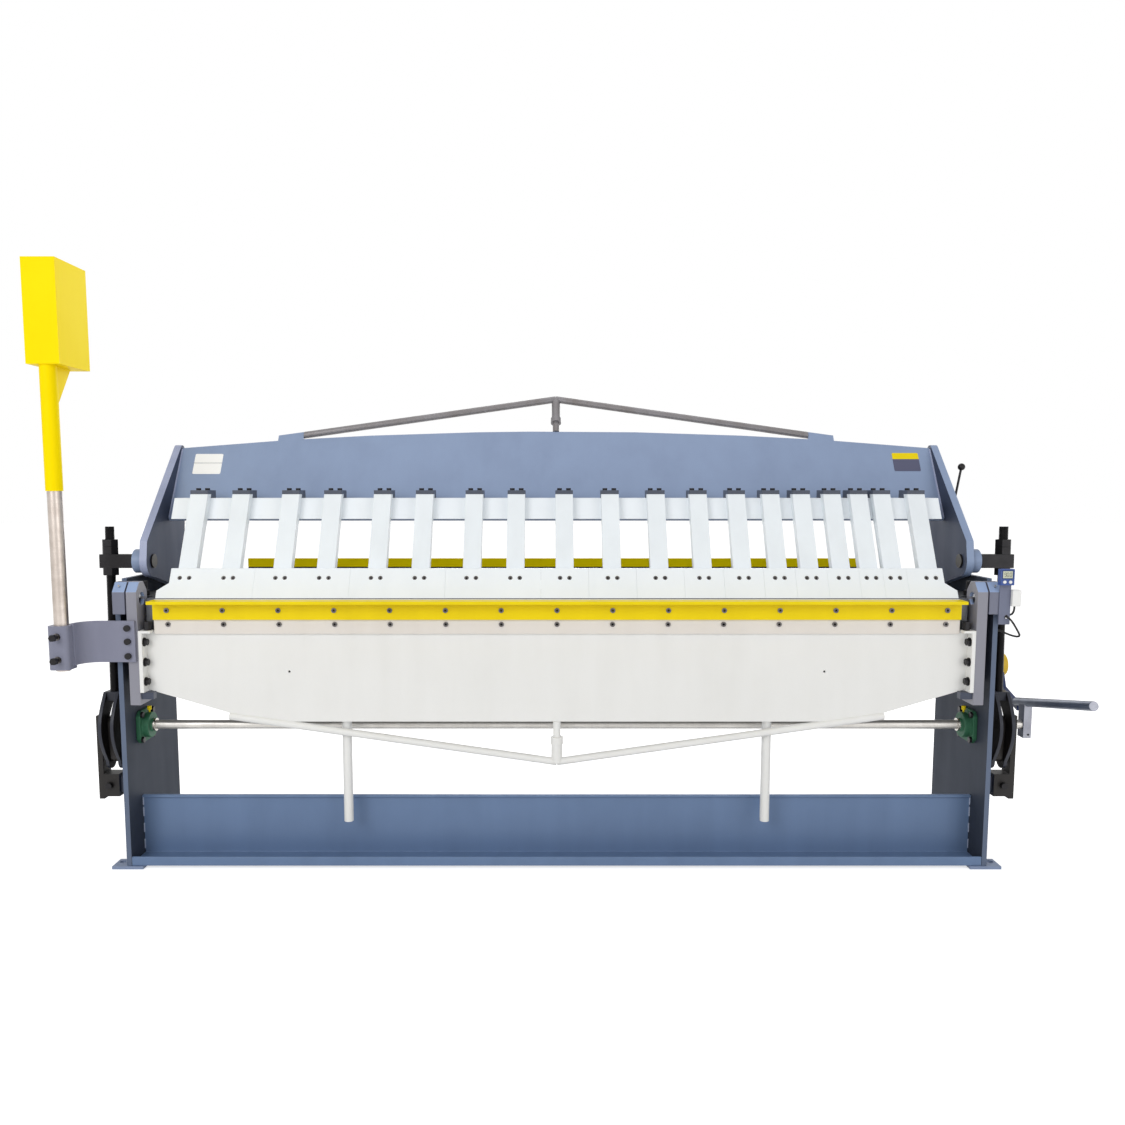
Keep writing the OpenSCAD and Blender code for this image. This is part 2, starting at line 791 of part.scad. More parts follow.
// White beam behind the finger stems, closed against the beam plate
function plate_front_y(z) =
    beam_plate_y + (z - bed_h - beam_plate_rise) * tan(beam_plate_lean);
finger_beam_z = [bed_h + finger_beam_low, bed_h + finger_beam_high];
function leaned_at(depth, z) = (z - nose_z) * tan(finger_lean) + depth / cos(finger_lean);
function stem_back_at(z) = leaned_at(shoe_t + stem_t, z);
function finger_beam_outline(wall) = [
    for (z = [finger_beam_z[0] + wall, finger_beam_z[1] - wall]) [stem_back_at(z) + wall, z],
    for (z = [finger_beam_z[1] - wall, finger_beam_z[0] + wall]) [plate_front_y(z) - wall, z]];
module finger_beam() {
    half = work_half + finger_beam_side;
    at_anchors() color([0.93, 0.95, 0.97]) difference() {
        plate_x([-half, half], finger_beam_outline(0));
        plate_x([-half - over, half + over], finger_beam_outline(finger_beam_wall));
    }
}

// One finger shoe between two places, drawn from the nose line, with a flare at the row's ends
function shoe_front_y(z) = (z - nose_z) * tan(finger_lean);
module shoe(i) {
    x = [finger_left(i) + finger_gap / 2, finger_left(i + 1) - finger_gap / 2];
    wall = shoe_t / cos(finger_lean);
    top = nose_z + shoe_h;
    heel = nose_z + shoe_heel_h;
    difference() {
        plate_x(x, [[0, nose_z], [shoe_front_y(top), top], [shoe_front_y(top) + wall, top],
            [shoe_front_y(heel) + wall, heel], [shoe_foot, nose_z + shoe_foot_h],
            [shoe_foot, nose_z]]);
        if (i == 0) row_end_cut(x[0]);
        if (i == len(finger_units) - 1) mirror([1, 0, 0]) row_end_cut(-x[1]);
        for (s = stems(i)) shoe_bolt_pair(s, shoe_bolt_d + 2 * skin_gap, shoe_bolt_sink + over);
    }
}
module row_end_cut(x) {
    plate_y([-over, shoe_foot + shoe_h], [
        [x - over, nose_z + flare_low], [x, nose_z + flare_low],
        [x + end_flare, nose_z + flare_high], [x + end_flare, nose_z + shoe_h + over],
        [x - over, nose_z + shoe_h + over]]);
}
function stems(i) = finger_units[i] == two_stem_units
    ? [for (s = [-1, 1]) finger_mid(i) + s * stem_spread_share * finger_units[i] * unit_w / 2]
    : [finger_mid(i)];
all_stems = [for (i = [0:len(finger_units) - 1]) each stems(i)];
module shoe_bolt_pair(x, d, front) {
    at_fingers() for (s = [-1, 1])
        bar_y(x + s * cap_bolt_spacing / 2, [shoe_bolt_sink - front, shoe_bolt_sink + shoe_bolt_h],
            shoe_bolt_up, d);
}
module shoes(widths) {
    at_anchors() color([0.94, 0.96, 0.98]) for (i = [0:len(finger_units) - 1])
        if (len(search(finger_units[i], widths)) > 0) shoe(i);
}
module fingers_12in() { shoes([12]); }
module fingers_6in_5in() { shoes([6, 5]); }
module fingers_4in_3in() { shoes([4, 3]); }
stem_top = bed_h + stem_top_rise;
module finger_stems() {
    foot = [for (y = [shoe_t, shoe_t + stem_t]) [
        y * cos(finger_lean) + stem_low * sin(finger_lean),
        nose_z + stem_low * cos(finger_lean) - y * sin(finger_lean)]];
    at_anchors() color([0.94, 0.96, 0.98]) for (x = all_stems)
        plate_x([x - stem_w / 2, x + stem_w / 2], [foot[0], foot[1],
            [stem_back_at(stem_top), stem_top], [leaned_at(shoe_t, stem_top), stem_top]]);
}

// Cap over the top of each stem, stepped down behind it to the finger beam
cap_y = [leaned_at(shoe_t, stem_top), stem_back_at(stem_top) + cap_depth];
cap_top = stem_top + cap_h;
module clamp_caps() {
    low = finger_beam_z[1];
    at_anchors() color([0.3, 0.34, 0.42]) for (x = all_stems)
        plate_x([x - stem_w / 2, x + stem_w / 2], [
            [cap_y[0], cap_top], [cap_y[0], stem_top], [stem_back_at(stem_top), stem_top],
            [stem_back_at(low), low], [cap_y[1], low], [cap_y[1], cap_top]]);
}
module finger_bolts() {
    at_anchors() color([0.2, 0.2, 0.22]) for (x = all_stems) {
        shoe_bolt_pair(x, shoe_bolt_d, 0);
        for (s = [-1, 1])
            bar_z(x + s * cap_bolt_spacing / 2, (cap_y[0] + cap_y[1]) / 2,
                [cap_top, cap_top + cap_bolt_h], cap_bolt_d);
    }
}

// Knob and catch lever outside the right beam arm
module catch_knob() {
    z = bed_h + knob_rise;
    x = beam_arm_x[1];
    at_anchors() color([0.1, 0.1, 0.1]) {
        bar_x([x, x + knob_reach - knob_t / 2], knob_y, z, knob_stem_d);
        bar_x([x + knob_reach - knob_t / 2, x + knob_reach + knob_t / 2], knob_y, z, knob_d);
    }
}
module catch_lever() {
    z = bed_h + catch_rise;
    x = beam_arm_x[1] + catch_reach;
    tip = [x + catch_lean, catch_y, z + catch_len - catch_ball_d / 2];
    at_anchors() color([0.12, 0.12, 0.12]) {
        bar_x([beam_arm_x[1], x + catch_hub_t / 2], catch_y, z, catch_spindle_d);
        bar_x([x - catch_hub_t / 2, x + catch_hub_t / 2], catch_y, z, catch_hub_d);
        strut([x, catch_y, z], tip, catch_rod_d);
        translate(tip) sphere(d = catch_ball_d);
    }
}

// Trunnion: journal in the beam arm, boss beside it and a square bar that the rod passes through
module trunnion() {
    x0 = beam_arm_x[0] - journal_recess;
    x1 = beam_arm_x[1] + trunnion_side_gap;
    x2 = x1 + trunnion_boss_t;
    at_rod() difference() {
        union() {
            bar_x([x0, x1], 0, rod_len, journal_d);
            bar_x([x1, x2], 0, rod_len, trunnion_boss_d);
            block([x2, side_out + trunnion_reach], [-trunnion_bar / 2, trunnion_bar / 2],
                [rod_len - trunnion_bar / 2, rod_len + trunnion_bar / 2]);
        }
        bar_z(rod_x, 0, [rod_len - trunnion_bar, rod_len + trunnion_bar], rod_d + 2 * pin_gap);
    }
}
module clamp_rod() {
    at_rod() bar_z(rod_x, 0, [block_high, rod_len + rod_over_trunnion], rod_d);
}
module rod_nuts() {
    face = trunnion_bar / 2;
    at_rod() for (z = [rod_len + face, rod_len + face + nut_h + skin_gap, rod_len - face - nut_h])
        difference() {
            bar_z(rod_x, 0, [z, z + nut_h], across(nut_flats), 6);
            bar_z(rod_x, 0, [z - over, z + nut_h + over], rod_d + 2 * pin_gap);
        }
}

// Links that curve round the front of the cross shaft, with the block that joins their tops
module c_links() {
    half = link_w / 2;
    height = block_high + link_foot;
    front = [for (i = [0:link_steps]) [
        -half - (link_bulge - half) * sin(180 * i / link_steps),
        height * i / link_steps - link_foot]];
    throat = [for (i = [link_steps:-1:0]) [
        half - (half + link_throat) * sin(180 * i / link_steps), block_low * i / link_steps]];
    outline = concat(front, [[half, block_high]], throat, [[half, -link_foot]]);
    at_rod() {
        for (x = [inner_link_x, outer_link_x]) {
            plate_x(x, outline);
            bar_x(x, 0, -link_foot, link_w);
        }
        bar_x([inner_link_x[0] - pin_head_h, inner_link_x[0]], 0, 0, pin_head_d);
        block([inner_link_x[1], outer_link_x[0]], [-half, half], [block_low, block_high]);
    }
}
module right_trunnion() { at_anchors() color([0.3, 0.3, 0.32]) trunnion(); }
module left_trunnion() { at_anchors() color([0.3, 0.3, 0.32]) left() trunnion(); }
module right_clamp_rod() { at_anchors() color([0.15, 0.15, 0.16]) clamp_rod(); }
module left_clamp_rod() { at_anchors() color([0.15, 0.15, 0.16]) left() clamp_rod(); }
module right_rod_nuts() { at_anchors() color([0.12, 0.12, 0.13]) rod_nuts(); }
module left_rod_nuts() { at_anchors() color([0.12, 0.12, 0.13]) left() rod_nuts(); }
module right_c_links() { at_anchors() color([0.27, 0.26, 0.24]) c_links(); }
module left_c_links() { at_anchors() color([0.27, 0.26, 0.24]) left() c_links(); }

// Cross shaft with its two cranks
module cross_shaft() {
    at_anchors() color("silver")
        bar_x([-outer_plate_x[1], lever_x + shaft_stub], shaft_y, shaft_z, shaft_d);
}
module shaft_cranks() {
    r0 = crank_hub_d / 2;
    r1 = crank_pin_end_d / 2;
    at_anchors() color([0.25, 0.24, 0.23]) both_sides() difference() {
        union() {
            bar_x(crank_x, shaft_y, shaft_z, crank_hub_d);
            bar_x(crank_x, shaft_y, pin_z, crank_pin_end_d);
            plate_x(crank_x, [[shaft_y - r0, shaft_z], [shaft_y - r1, pin_z],
                [shaft_y + r1, pin_z], [shaft_y + r0, shaft_z]]);
        }
        bar_x([crank_x[0] - over, crank_x[1] + over], shaft_y, shaft_z, shaft_d + 2 * pin_gap);
    }
}

// Hand lever in a saddle on its hub, with a counterweight disc on an arm behind
lever_x_range = [lever_x - hub_w / 2, lever_x + hub_w / 2];
module lever_bar(d) {
    strut([lever_x, lever_root[0], shaft_z + lever_root[1]],
        [lever_x, lever_tip[0], shaft_z + lever_tip[1]], d);
}
module lever_hub() {
    at_anchors() color([0.62, 0.63, 0.66]) difference() {
        block(lever_x_range, [shaft_y - hub_depth / 2, shaft_y + hub_depth / 2],
            [shaft_z - hub_fall, shaft_z + hub_rise]);
        bar_x([lever_x_range[0] - over, lever_x_range[1] + over], shaft_y, shaft_z,
            shaft_d + 2 * pin_gap);
        lever_bar(lever_d + 2 * pin_gap);
    }
}
module lever_handle() { at_anchors() color([0.25, 0.3, 0.36]) lever_bar(lever_d); }
module lever_weight() {
    y = lever_arm_y;
    z = [for (rise = lever_arm_z) shaft_z + rise];
    hub_z = shaft_z + lever_weight_at[1];
    at_anchors() color([1, 0.82, 0.1]) difference() {
        union() {
            plate_x([lever_x - lever_arm_t / 2, lever_x + lever_arm_t / 2], [
                [y[0], z[0]], [y[2], z[2]], [y[4], hub_z], [y[3], hub_z],
                [y[1], z[3]], [y[0], z[1]]]);
            bar_x([lever_x - lever_weight_t / 2, lever_x + lever_weight_t / 2],
                lever_weight_at[0], hub_z, lever_weight_d);
        }
        lever_bar(lever_d + 2 * pin_gap);
    }
}

// Apron plate, blade bar and angle, from back to front
apron_y = [-apron_gap - apron_t, -apron_gap];
blade_y = [apron_y[0] - blade_t, apron_y[0]];
apron_top = bed_h - apron_top_fall;
wing_x = work_half + apron_wing;
module apron_plate_shape() {
    plate_y(apron_y, mirrored([
        [bottom_half, bed_h - apron_drop], [wing_x, bed_h - corner_fall],
        [wing_x, bed_h - shoulder_fall], [work_half, bed_h - shoulder_fall],
        [work_half, apron_top]]));
}
module apron_plate() {
    at_anchors() color([0.92, 0.92, 0.9]) difference() {
        apron_plate_shape();
        both_sides() bar_y(peep_x, [apron_y[0] - over, apron_y[1] + over], bed_h - peep_fall, peep_d);
    }
}
module blade_bar() {
    at_anchors() color([0.9, 0.86, 0.8])
        block([-work_half, work_half], blade_y, [apron_top - blade_h, apron_top]);
}
module flange_angle() {
    y = blade_y[0];
    at_anchors() color([0.92, 0.85, 0]) plate_x([-work_half, work_half], [
        [y, apron_top - angle_h], [y, apron_top], [y - angle_reach, apron_top],
        [y - angle_reach, apron_top - angle_shelf_t], [y - angle_leg_t, apron_top - angle_shelf_t],
        [y - angle_leg_t, apron_top - angle_h]]);
}
module apron_screws() {
    first = -(screw_count - 1) / 2;
    leg_y = blade_y[0] - angle_leg_t;
    at_anchors() color([0.3, 0.28, 0.25]) {
        for (i = [0:screw_count - 1]) {
            x = (first + i) * screw_pitch;
            bar_y(x, [leg_y - screw_h, leg_y], bed_h - angle_screw_fall, screw_d);
            bar_y(x, [blade_y[0] - screw_h, blade_y[0]], bed_h - blade_screw_fall, screw_d);
        }
        both_sides() {
            for (fall = arm_bolt_falls) {
                bar_x([wing_x - washer_t, wing_x], arm_bolt_y, bed_h - fall, washer_d);
                bar_x([wing_x - washer_t - arm_bolt_h, wing_x - washer_t], arm_bolt_y,
                    bed_h - fall, across(arm_bolt_d), 6);
            }
            bar_z(wing_x - adjuster_in, adjuster_y,
                [bed_h - end_flange_top, bed_h - end_flange_top + adjuster_h],
                across(adjuster_flats), 6);
        }
        left() weight_bolts();
    }
}

// Flange at each end of the apron plate, with a tab for the adjuster and a lug at its foot
module apron_end_flanges() {
    y = [apron_y[1] - end_flange_depth, apron_y[1]];
    at_anchors() color([0.86, 0.86, 0.84]) both_sides() {
        block([wing_x, arm_x[0]], y, [bed_h - end_flange_bottom, bed_h - end_flange_top]);
        block([wing_x - tab_w, wing_x], [y[0], apron_y[0]],
            [bed_h - end_flange_top - tab_t, bed_h - end_flange_top]);
        block([wing_x - lug_w, arm_x[0]], [apron_y[0] - lug_w, apron_y[0]],
            [bed_h - end_flange_bottom - lug_h, bed_h - end_flange_bottom]);
    }
}

module apron_arms() {
    at_anchors() color([0.62, 0.64, 0.68]) both_sides() difference() {
        plate_x(arm_x, hinge_outline(block_rise, arm_fall));
        bar_x([arm_x[0] - over, arm_x[1] + over], 0, bed_h, hinge_pin_d + 2 * pin_gap);
    }
}

// Truss rods under the apron, cut to sit on the plate's lower edge, and the strut between
module apron_truss_shape() {
    both_sides() intersection() {
        strut([truss_end_x, apron_mid_y, bed_h - truss_end_fall],
            [0, apron_mid_y, bed_h - truss_peak_fall], apron_truss_d);
        block([skin_gap / 2, truss_end_x], [-side_depth, side_depth], [0, bed_h]);
    }
}
module apron_truss_rod() {
    at_anchors() color([0.92, 0.92, 0.9]) difference() {
        apron_truss_shape();
        apron_plate_shape();
    }
}
module apron_truss_strut() {
    at_anchors() color([0.88, 0.88, 0.86]) difference() {
        union() {
            bar_z(0, apron_mid_y, [bed_h - truss_stud_end, bed_h - apron_drop], truss_stud_d);
            bar_z(0, apron_mid_y, [bed_h - truss_collar_end, bed_h - truss_stud_end],
                truss_collar_d);
            bar_z(0, apron_mid_y, [bed_h - truss_peak_fall, bed_h - truss_collar_end],
                truss_tube_d);
        }
        apron_truss_shape();
    }
}
module apron_handles() {
    top = bed_h - handle_top_fall;
    at_anchors() color([0.2, 0.2, 0.22]) both_sides() {
        bar_z(handle_x, handle_y, [bed_h - handle_end_fall, top], handle_d);
        block([handle_x - handle_block_w / 2, handle_x + handle_block_w / 2],
            [apron_y[1], handle_y], [top - handle_block_h, top]);
    }
}

// Counterweight of the apron on the left: bent strap with clamp sleeve, pole and weight box
strap_y = hinge_y[0] - bracket_t / 2;
clamp_x = pole_x - clamp_w / 2;
function strap_bend(shift) = [for (i = [0:bend_steps]) let (a = 90 * i / bend_steps) [
    bracket_bend_x + (clamp_x - bracket_bend_x + shift) * sin(a),
    pole_y + (strap_y - pole_y + shift) * cos(a)]];
function turned(outline) = [for (i = [len(outline) - 1:-1:0]) outline[i]];
function clamp_outline(half, r) = [for (side = [0:3], j = [0:clamp_steps])
    let (a = 90 * (side + j / clamp_steps), mid = 90 * side + 45) [
        pole_x + (half - r) * sign(cos(mid)) + r * cos(a),
        pole_y + (half - r) * sign(sin(mid)) + r * sin(a)]];
module weight_bracket() {
    x0 = arm_x[0] + bracket_in;
    t = bracket_t / 2;
    z = [for (fall = clamp_falls) bed_h - fall];
    at_anchors() color([0.5, 0.53, 0.6]) left() difference() {
        union() {
            translate([0, 0, bed_h - bracket_falls[0]])
                linear_extrude(bracket_falls[0] - bracket_falls[1]) polygon(concat(
                    [[x0, strap_y + t], [x0, strap_y - t]], strap_bend(-t),
                    turned(strap_bend(t))));
            translate([0, 0, z[0]]) linear_extrude(z[1] - z[0])
                polygon(clamp_outline(clamp_w / 2, clamp_round));
        }
        bar_z(pole_x, pole_y, [z[0] - over, z[1] + over], pole_d + 2 * pin_gap);
    }
}
module weight_bolts() {
    front = hinge_y[0] - bracket_t;
    face = pole_y - clamp_w / 2;
    head = face - clamp_stud_h;
    for (fall = weight_bolt_falls)
        bar_y(arm_x[0] + bracket_in + weight_bolt_in, [front - weight_bolt_h, front],
            bed_h - fall, weight_bolt_d);
    for (fall = clamp_bolt_falls) {
        bar_y(pole_x, [face - washer_t, face], bed_h - fall, across(clamp_bolt_flats));
        bar_y(pole_x, [head, face - washer_t], bed_h - fall, clamp_stud_d);
        bar_y(pole_x, [head - clamp_bolt_h, head], bed_h - fall, across(clamp_bolt_flats), 6);
    }
}
module weight_pole() {
    at_anchors() color([0.78, 0.74, 0.7]) left()
        bar_z(pole_x, pole_y, [bed_h - pole_fall, bed_h + pole_top_rise], pole_d);
}
module weight_box() {
    low = bed_h + weight_rise;
    front = pole_y - weight_front;
    back = pole_y + sleeve_d / 2;
    at_anchors() color([1, 0.87, 0.1]) left() difference() {
        union() {
            block([pole_x - weight_w / 2, pole_x + weight_w / 2], [front, front + weight_depth],
                [low, low + weight_h]);
            bar_z(pole_x, pole_y, [bed_h + sleeve_rise, low + over], sleeve_d);
            plate_x([pole_x - gusset_t / 2, pole_x + gusset_t / 2], [
                [pole_y, low - gusset_h], [back, low - gusset_h], [back + gusset_depth, low],
                [pole_y, low]]);
        }
        bar_z(pole_x, pole_y, [bed_h + sleeve_rise - over, bed_h + pole_top_rise],
            pole_d + 2 * pin_gap);
    }
}

left_side_plate();
right_side_plate();
base_channel();
floor_feet();
bed_beam();
hinge_blocks();
pivot_pins();
grease_fittings();
flange_bearings();
frame_bolts();
outboard_brackets();
readout_bracket();
readout_housing();
readout_screen();
sensor_box();
readout_cable();
gauge_rails();
back_gauge_bar();
gauge_carriage();
left_beam_arm();
right_beam_arm();
beam_plate();
finger_beam();
fingers_12in();
fingers_6in_5in();
fingers_4in_3in();
finger_stems();
clamp_caps();
finger_bolts();
top_truss_rod();
top_truss_strut();
catch_knob();
catch_lever();
left_trunnion();
right_trunnion();
left_clamp_rod();
right_clamp_rod();
left_rod_nuts();
right_rod_nuts();
left_c_links();
right_c_links();
cross_shaft();
shaft_cranks();
lever_hub();
lever_handle();
lever_weight();
apron_plate();
blade_bar();
flange_angle();
apron_screws();
apron_arms();
apron_end_flanges();
apron_truss_rod();
apron_truss_strut();
apron_handles();
weight_bracket();
weight_pole();
weight_box();
power_button();
zero_button();
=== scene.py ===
import json
import math
import bmesh
import bpy
from mathutils import Matrix, Vector


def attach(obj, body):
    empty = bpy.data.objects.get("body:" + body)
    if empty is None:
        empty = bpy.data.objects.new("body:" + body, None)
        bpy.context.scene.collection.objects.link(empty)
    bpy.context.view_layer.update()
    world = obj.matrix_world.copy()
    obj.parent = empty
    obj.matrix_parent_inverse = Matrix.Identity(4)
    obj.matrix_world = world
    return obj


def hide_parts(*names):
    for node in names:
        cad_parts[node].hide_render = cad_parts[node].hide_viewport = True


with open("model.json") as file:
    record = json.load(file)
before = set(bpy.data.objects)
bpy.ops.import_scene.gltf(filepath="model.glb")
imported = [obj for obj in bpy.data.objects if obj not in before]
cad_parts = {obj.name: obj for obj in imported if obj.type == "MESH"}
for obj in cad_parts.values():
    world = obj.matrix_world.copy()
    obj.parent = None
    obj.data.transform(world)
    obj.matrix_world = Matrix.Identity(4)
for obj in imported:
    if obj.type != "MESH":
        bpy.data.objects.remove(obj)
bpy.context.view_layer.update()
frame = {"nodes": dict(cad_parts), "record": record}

# Studio: the machine stands on a plain white floor in soft light, most of it from the upper left.
# The camera is 3 m in front of the bending edge and 1.2 m above the floor, and looks a little
# down.
EDGE_Y = -0.1925
CAMERA_AT = (-0.025, EDGE_Y - 2.983, 1.224)
CAMERA_DOWN = math.radians(5.83)
FOCAL_SHARE = 950 / 1125
SHIFT = (0.012, 0.0209)
SENSOR = 36
FLOOR_SPAN = 30.0
FLOOR_GLOW = 0.6
FLOOR_GREY = (0.85, 0.85, 0.85, 1)
FLOOR_ROUGHNESS = 0.95
PURE_WHITE = (1, 1, 1, 1)
AMBIENT = 0.56
LAMPS = [  # name, place, what it looks at, size, watts
    ("key", (-2.6, -4.2, 2.8), (0, 0, 0.7), 2.6, 84),
    ("fill", (3.4, -3.8, 1.9), (0, 0, 0.7), 3.0, 42),
    ("top", (0, 0.4, 4.6), (0, 0, 0.9), 3.0, 22),
    ("rear", (0.5, 3.6, 2.4), (0, 0, 0.9), 3.0, 70),
]

scene = bpy.context.scene
scene.view_settings.view_transform = "Standard"
camera = bpy.data.objects.new("camera", bpy.data.cameras.new("camera"))
scene.collection.objects.link(camera)
scene.camera = camera
camera.data.sensor_width = SENSOR
camera.data.lens = SENSOR * FOCAL_SHARE
camera.data.shift_x, camera.data.shift_y = SHIFT
camera.location = CAMERA_AT
camera.rotation_euler = (math.pi / 2 - CAMERA_DOWN, 0, 0)


def new_material(name):
    material = bpy.data.materials.new(name)
    material.use_nodes = True
    tree = material.node_tree
    return material, tree, tree.nodes["Principled BSDF"]


def wire(tree, kind, settings=None, **links):
    """A node of one kind, with sockets set to values or joined to other sockets."""
    node = tree.nodes.new(kind)
    for key, value in (settings or {}).items():
        setattr(node, key, value)
    for key, value in links.items():
        socket = node.inputs[int(key[1:])] if key[0] == "i" and key[1:].isdigit() \
            else node.inputs[key.replace("_", " ")]
        if isinstance(value, bpy.types.NodeSocket):
            tree.links.new(value, socket)
        else:
            socket.default_value = value
    return node


def seen_directly(tree):
    """1 where the camera, a reflection or a view through glass looks, 0 for the light itself."""
    rays = wire(tree, "ShaderNodeLightPath").outputs
    seen = rays["Is Camera Ray"]
    for kind in ("Is Glossy Ray", "Is Transmission Ray"):
        seen = wire(tree, "ShaderNodeMath", {"operation": "MAXIMUM", "use_clamp": True},
                    i0=seen, i1=rays[kind]).outputs[0]
    return seen


world = bpy.data.worlds.new("studio")
scene.world = world
world.use_nodes = True
sky = world.node_tree
ambient = sky.nodes["Background"]
ambient.inputs["Color"].default_value = PURE_WHITE
ambient.inputs["Strength"].default_value = AMBIENT
backdrop = wire(sky, "ShaderNodeEmission", Color=PURE_WHITE)
sky_mix = wire(sky, "ShaderNodeMixShader", Fac=seen_directly(sky), i1=ambient.outputs[0],
               i2=backdrop.outputs[0])
sky.links.new(sky_mix.outputs[0], sky.nodes["World Output"].inputs["Surface"])

floor_bm = bmesh.new()
bmesh.ops.create_grid(floor_bm, x_segments=1, y_segments=1, size=FLOOR_SPAN)
floor_mesh = bpy.data.meshes.new("floor")
floor_bm.to_mesh(floor_mesh)
floor = bpy.data.objects.new("floor", floor_mesh)
scene.collection.objects.link(floor)
floor_paint, floor_tree, floor_shader = new_material("floor")
floor_shader.inputs["Base Color"].default_value = FLOOR_GREY
floor_shader.inputs["Roughness"].default_value = FLOOR_ROUGHNESS
floor_glow = wire(floor_tree, "ShaderNodeEmission", Color=PURE_WHITE, Strength=FLOOR_GLOW)
floor_lit = wire(floor_tree, "ShaderNodeAddShader", i0=floor_shader.outputs[0],
                 i1=floor_glow.outputs[0])
floor_mix = wire(floor_tree, "ShaderNodeMixShader", Fac=seen_directly(floor_tree),
                 i1=floor_shader.outputs[0], i2=floor_lit.outputs[0])
floor_tree.links.new(floor_mix.outputs[0],
                     floor_tree.nodes["Material Output"].inputs["Surface"])
floor_mesh.materials.append(floor_paint)

for name, at, aim, size, watts in LAMPS:
    data = bpy.data.lights.new(name, "AREA")
    data.size = size
    data.energy = watts
    light = bpy.data.objects.new(name, data)
    light.location = at
    light.rotation_euler = (Vector(aim) - Vector(at)).to_track_quat("-Z", "Y").to_euler()
    scene.collection.objects.link(light)


# Side frames, feet and base: 16 mm plate and 8 mm channel, flame cut, stitch welded at the
# corners and sprayed in blue-grey enamel, with a faint orange peel, cloudiness and dust.
def hue(r, g, b):
    """A colour as it is seen, 0 to 255, in the linear values that a shader takes."""
    return tuple(c / 12.92 if c <= 0.04045 else ((c + 0.055) / 1.055) ** 2.4
                 for c in (r / 255, g / 255, b / 255))


def finish_group(name, inputs):
    """A node group with its own inputs, which puts out a colour, a roughness and a height."""
    g = bpy.data.node_groups.new(name, "ShaderNodeTree")
    for label, kind, value in inputs:
        g.interface.new_socket(name=label, in_out="INPUT",
                               socket_type="NodeSocket" + kind).default_value = value
    for label, kind in (("Color", "Color"), ("Roughness", "Float"), ("Height", "Float")):
        g.interface.new_socket(name=label, in_out="OUTPUT", socket_type="NodeSocket" + kind)
    return g, g.nodes.new("NodeGroupInput").outputs, g.nodes.new("NodeGroupOutput").inputs


def times(g, first, second):
    return wire(g, "ShaderNodeMath", {"operation": "MULTIPLY"}, i0=first, i1=second).outputs[0]


def added(g, value, share, base, clamp=False):
    """A share of a value on top of a base."""
    return wire(g, "ShaderNodeMath", {"operation": "MULTIPLY_ADD", "use_clamp": clamp},
                i0=value, i1=share, i2=base).outputs[0]


def ranged(g, value, low, high):
    """0 up to the low value, 1 from the high one."""
    return wire(g, "ShaderNodeMapRange", Value=value, From_Min=low, From_Max=high).outputs[0]


def blended(g, first, second, factor):
    """The first colour where the factor is 0, the second where it is 1."""
    return wire(g, "ShaderNodeMix", {"data_type": "RGBA"}, Factor=factor, i6=first,
                i7=second).outputs[2]


def enamel_group():
    """Sprayed paint: cloudy colour with dust in specks, its roughness, and orange peel."""
    g, given, made = finish_group("sprayed enamel", (
        ("Color", "Color", (0.5, 0.5, 0.5, 1)), ("Dust Color", "Color", (0.3, 0.3, 0.3, 1)),
        ("Cloud", "Float", 0.25), ("Speck", "Float", 0.3), ("Roughness", "Float", 0.4),
        ("Peel Scale", "Float", 260.0)))
    place = wire(g, "ShaderNodeTexCoord").outputs["Object"]
    cloud = wire(g, "ShaderNodeTexNoise", Vector=place, Scale=3.1, Detail=4.0, Roughness=0.6)
    run_down = wire(g, "ShaderNodeMapping", Vector=place, Scale=(14.0, 14.0, 2.0))
    streak = wire(g, "ShaderNodeTexNoise", Vector=run_down.outputs[0], Scale=1.0, Detail=5.0)
    spread = ranged(g, times(g, cloud.outputs[0], streak.outputs[0]), low=0.12, high=0.42)
    clouded = blended(g, given["Color"], given["Dust Color"], times(g, spread, given["Cloud"]))
    grit = wire(g, "ShaderNodeTexNoise", Vector=place, Scale=420.0, Detail=1.0)
    specks = times(g, ranged(g, grit.outputs[0], low=0.66, high=0.74), given["Speck"])
    g.links.new(blended(g, clouded, given["Dust Color"], specks), made["Color"])
    g.links.new(added(g, spread, share=0.12, base=given["Roughness"]), made["Roughness"])
    peel = wire(g, "ShaderNodeTexNoise", Vector=place, Scale=given["Peel Scale"], Detail=2.0)
    g.links.new(peel.outputs[0], made["Height"])
    return g


ENAMEL = enamel_group()
RELIEF = 0.0006


def coated(name, group, values, bump=0.06, metal=0.0, shine=0.3):
    """A material from a finish group, with its own values and relief."""
    material, tree, shader = new_material(name)
    finish = tree.nodes.new("ShaderNodeGroup")
    finish.node_tree = group
    for key, value in values.items():
        finish.inputs[key].default_value = value
    tree.links.new(finish.outputs["Color"], shader.inputs["Base Color"])
    tree.links.new(finish.outputs["Roughness"], shader.inputs["Roughness"])
    relief = wire(tree, "ShaderNodeBump", Strength=bump, Distance=RELIEF,
                  Height=finish.outputs["Height"])
    tree.links.new(relief.outputs[0], shader.inputs["Normal"])
    shader.inputs["Metallic"].default_value = metal
    shader.inputs["Specular IOR Level"].default_value = shine
    return material


def paint(name, color, dust, roughness=0.38, cloud=0.3, speck=0.25, peel=260.0, bump=0.06,
          shine=0.3):
    return coated(name, ENAMEL, {
        "Color": (*color, 1), "Dust Color": (*dust, 1), "Cloud": cloud, "Speck": speck,
        "Roughness": roughness, "Peel Scale": peel}, bump, shine=shine)


BODY_OF = {n: b for b, nodes in frame["record"]["behaviour"]["bodies"].items() for n in nodes}
SHARP = math.radians(35)
LEVEL = math.radians(1)
JOIN_GAP = 0.00001


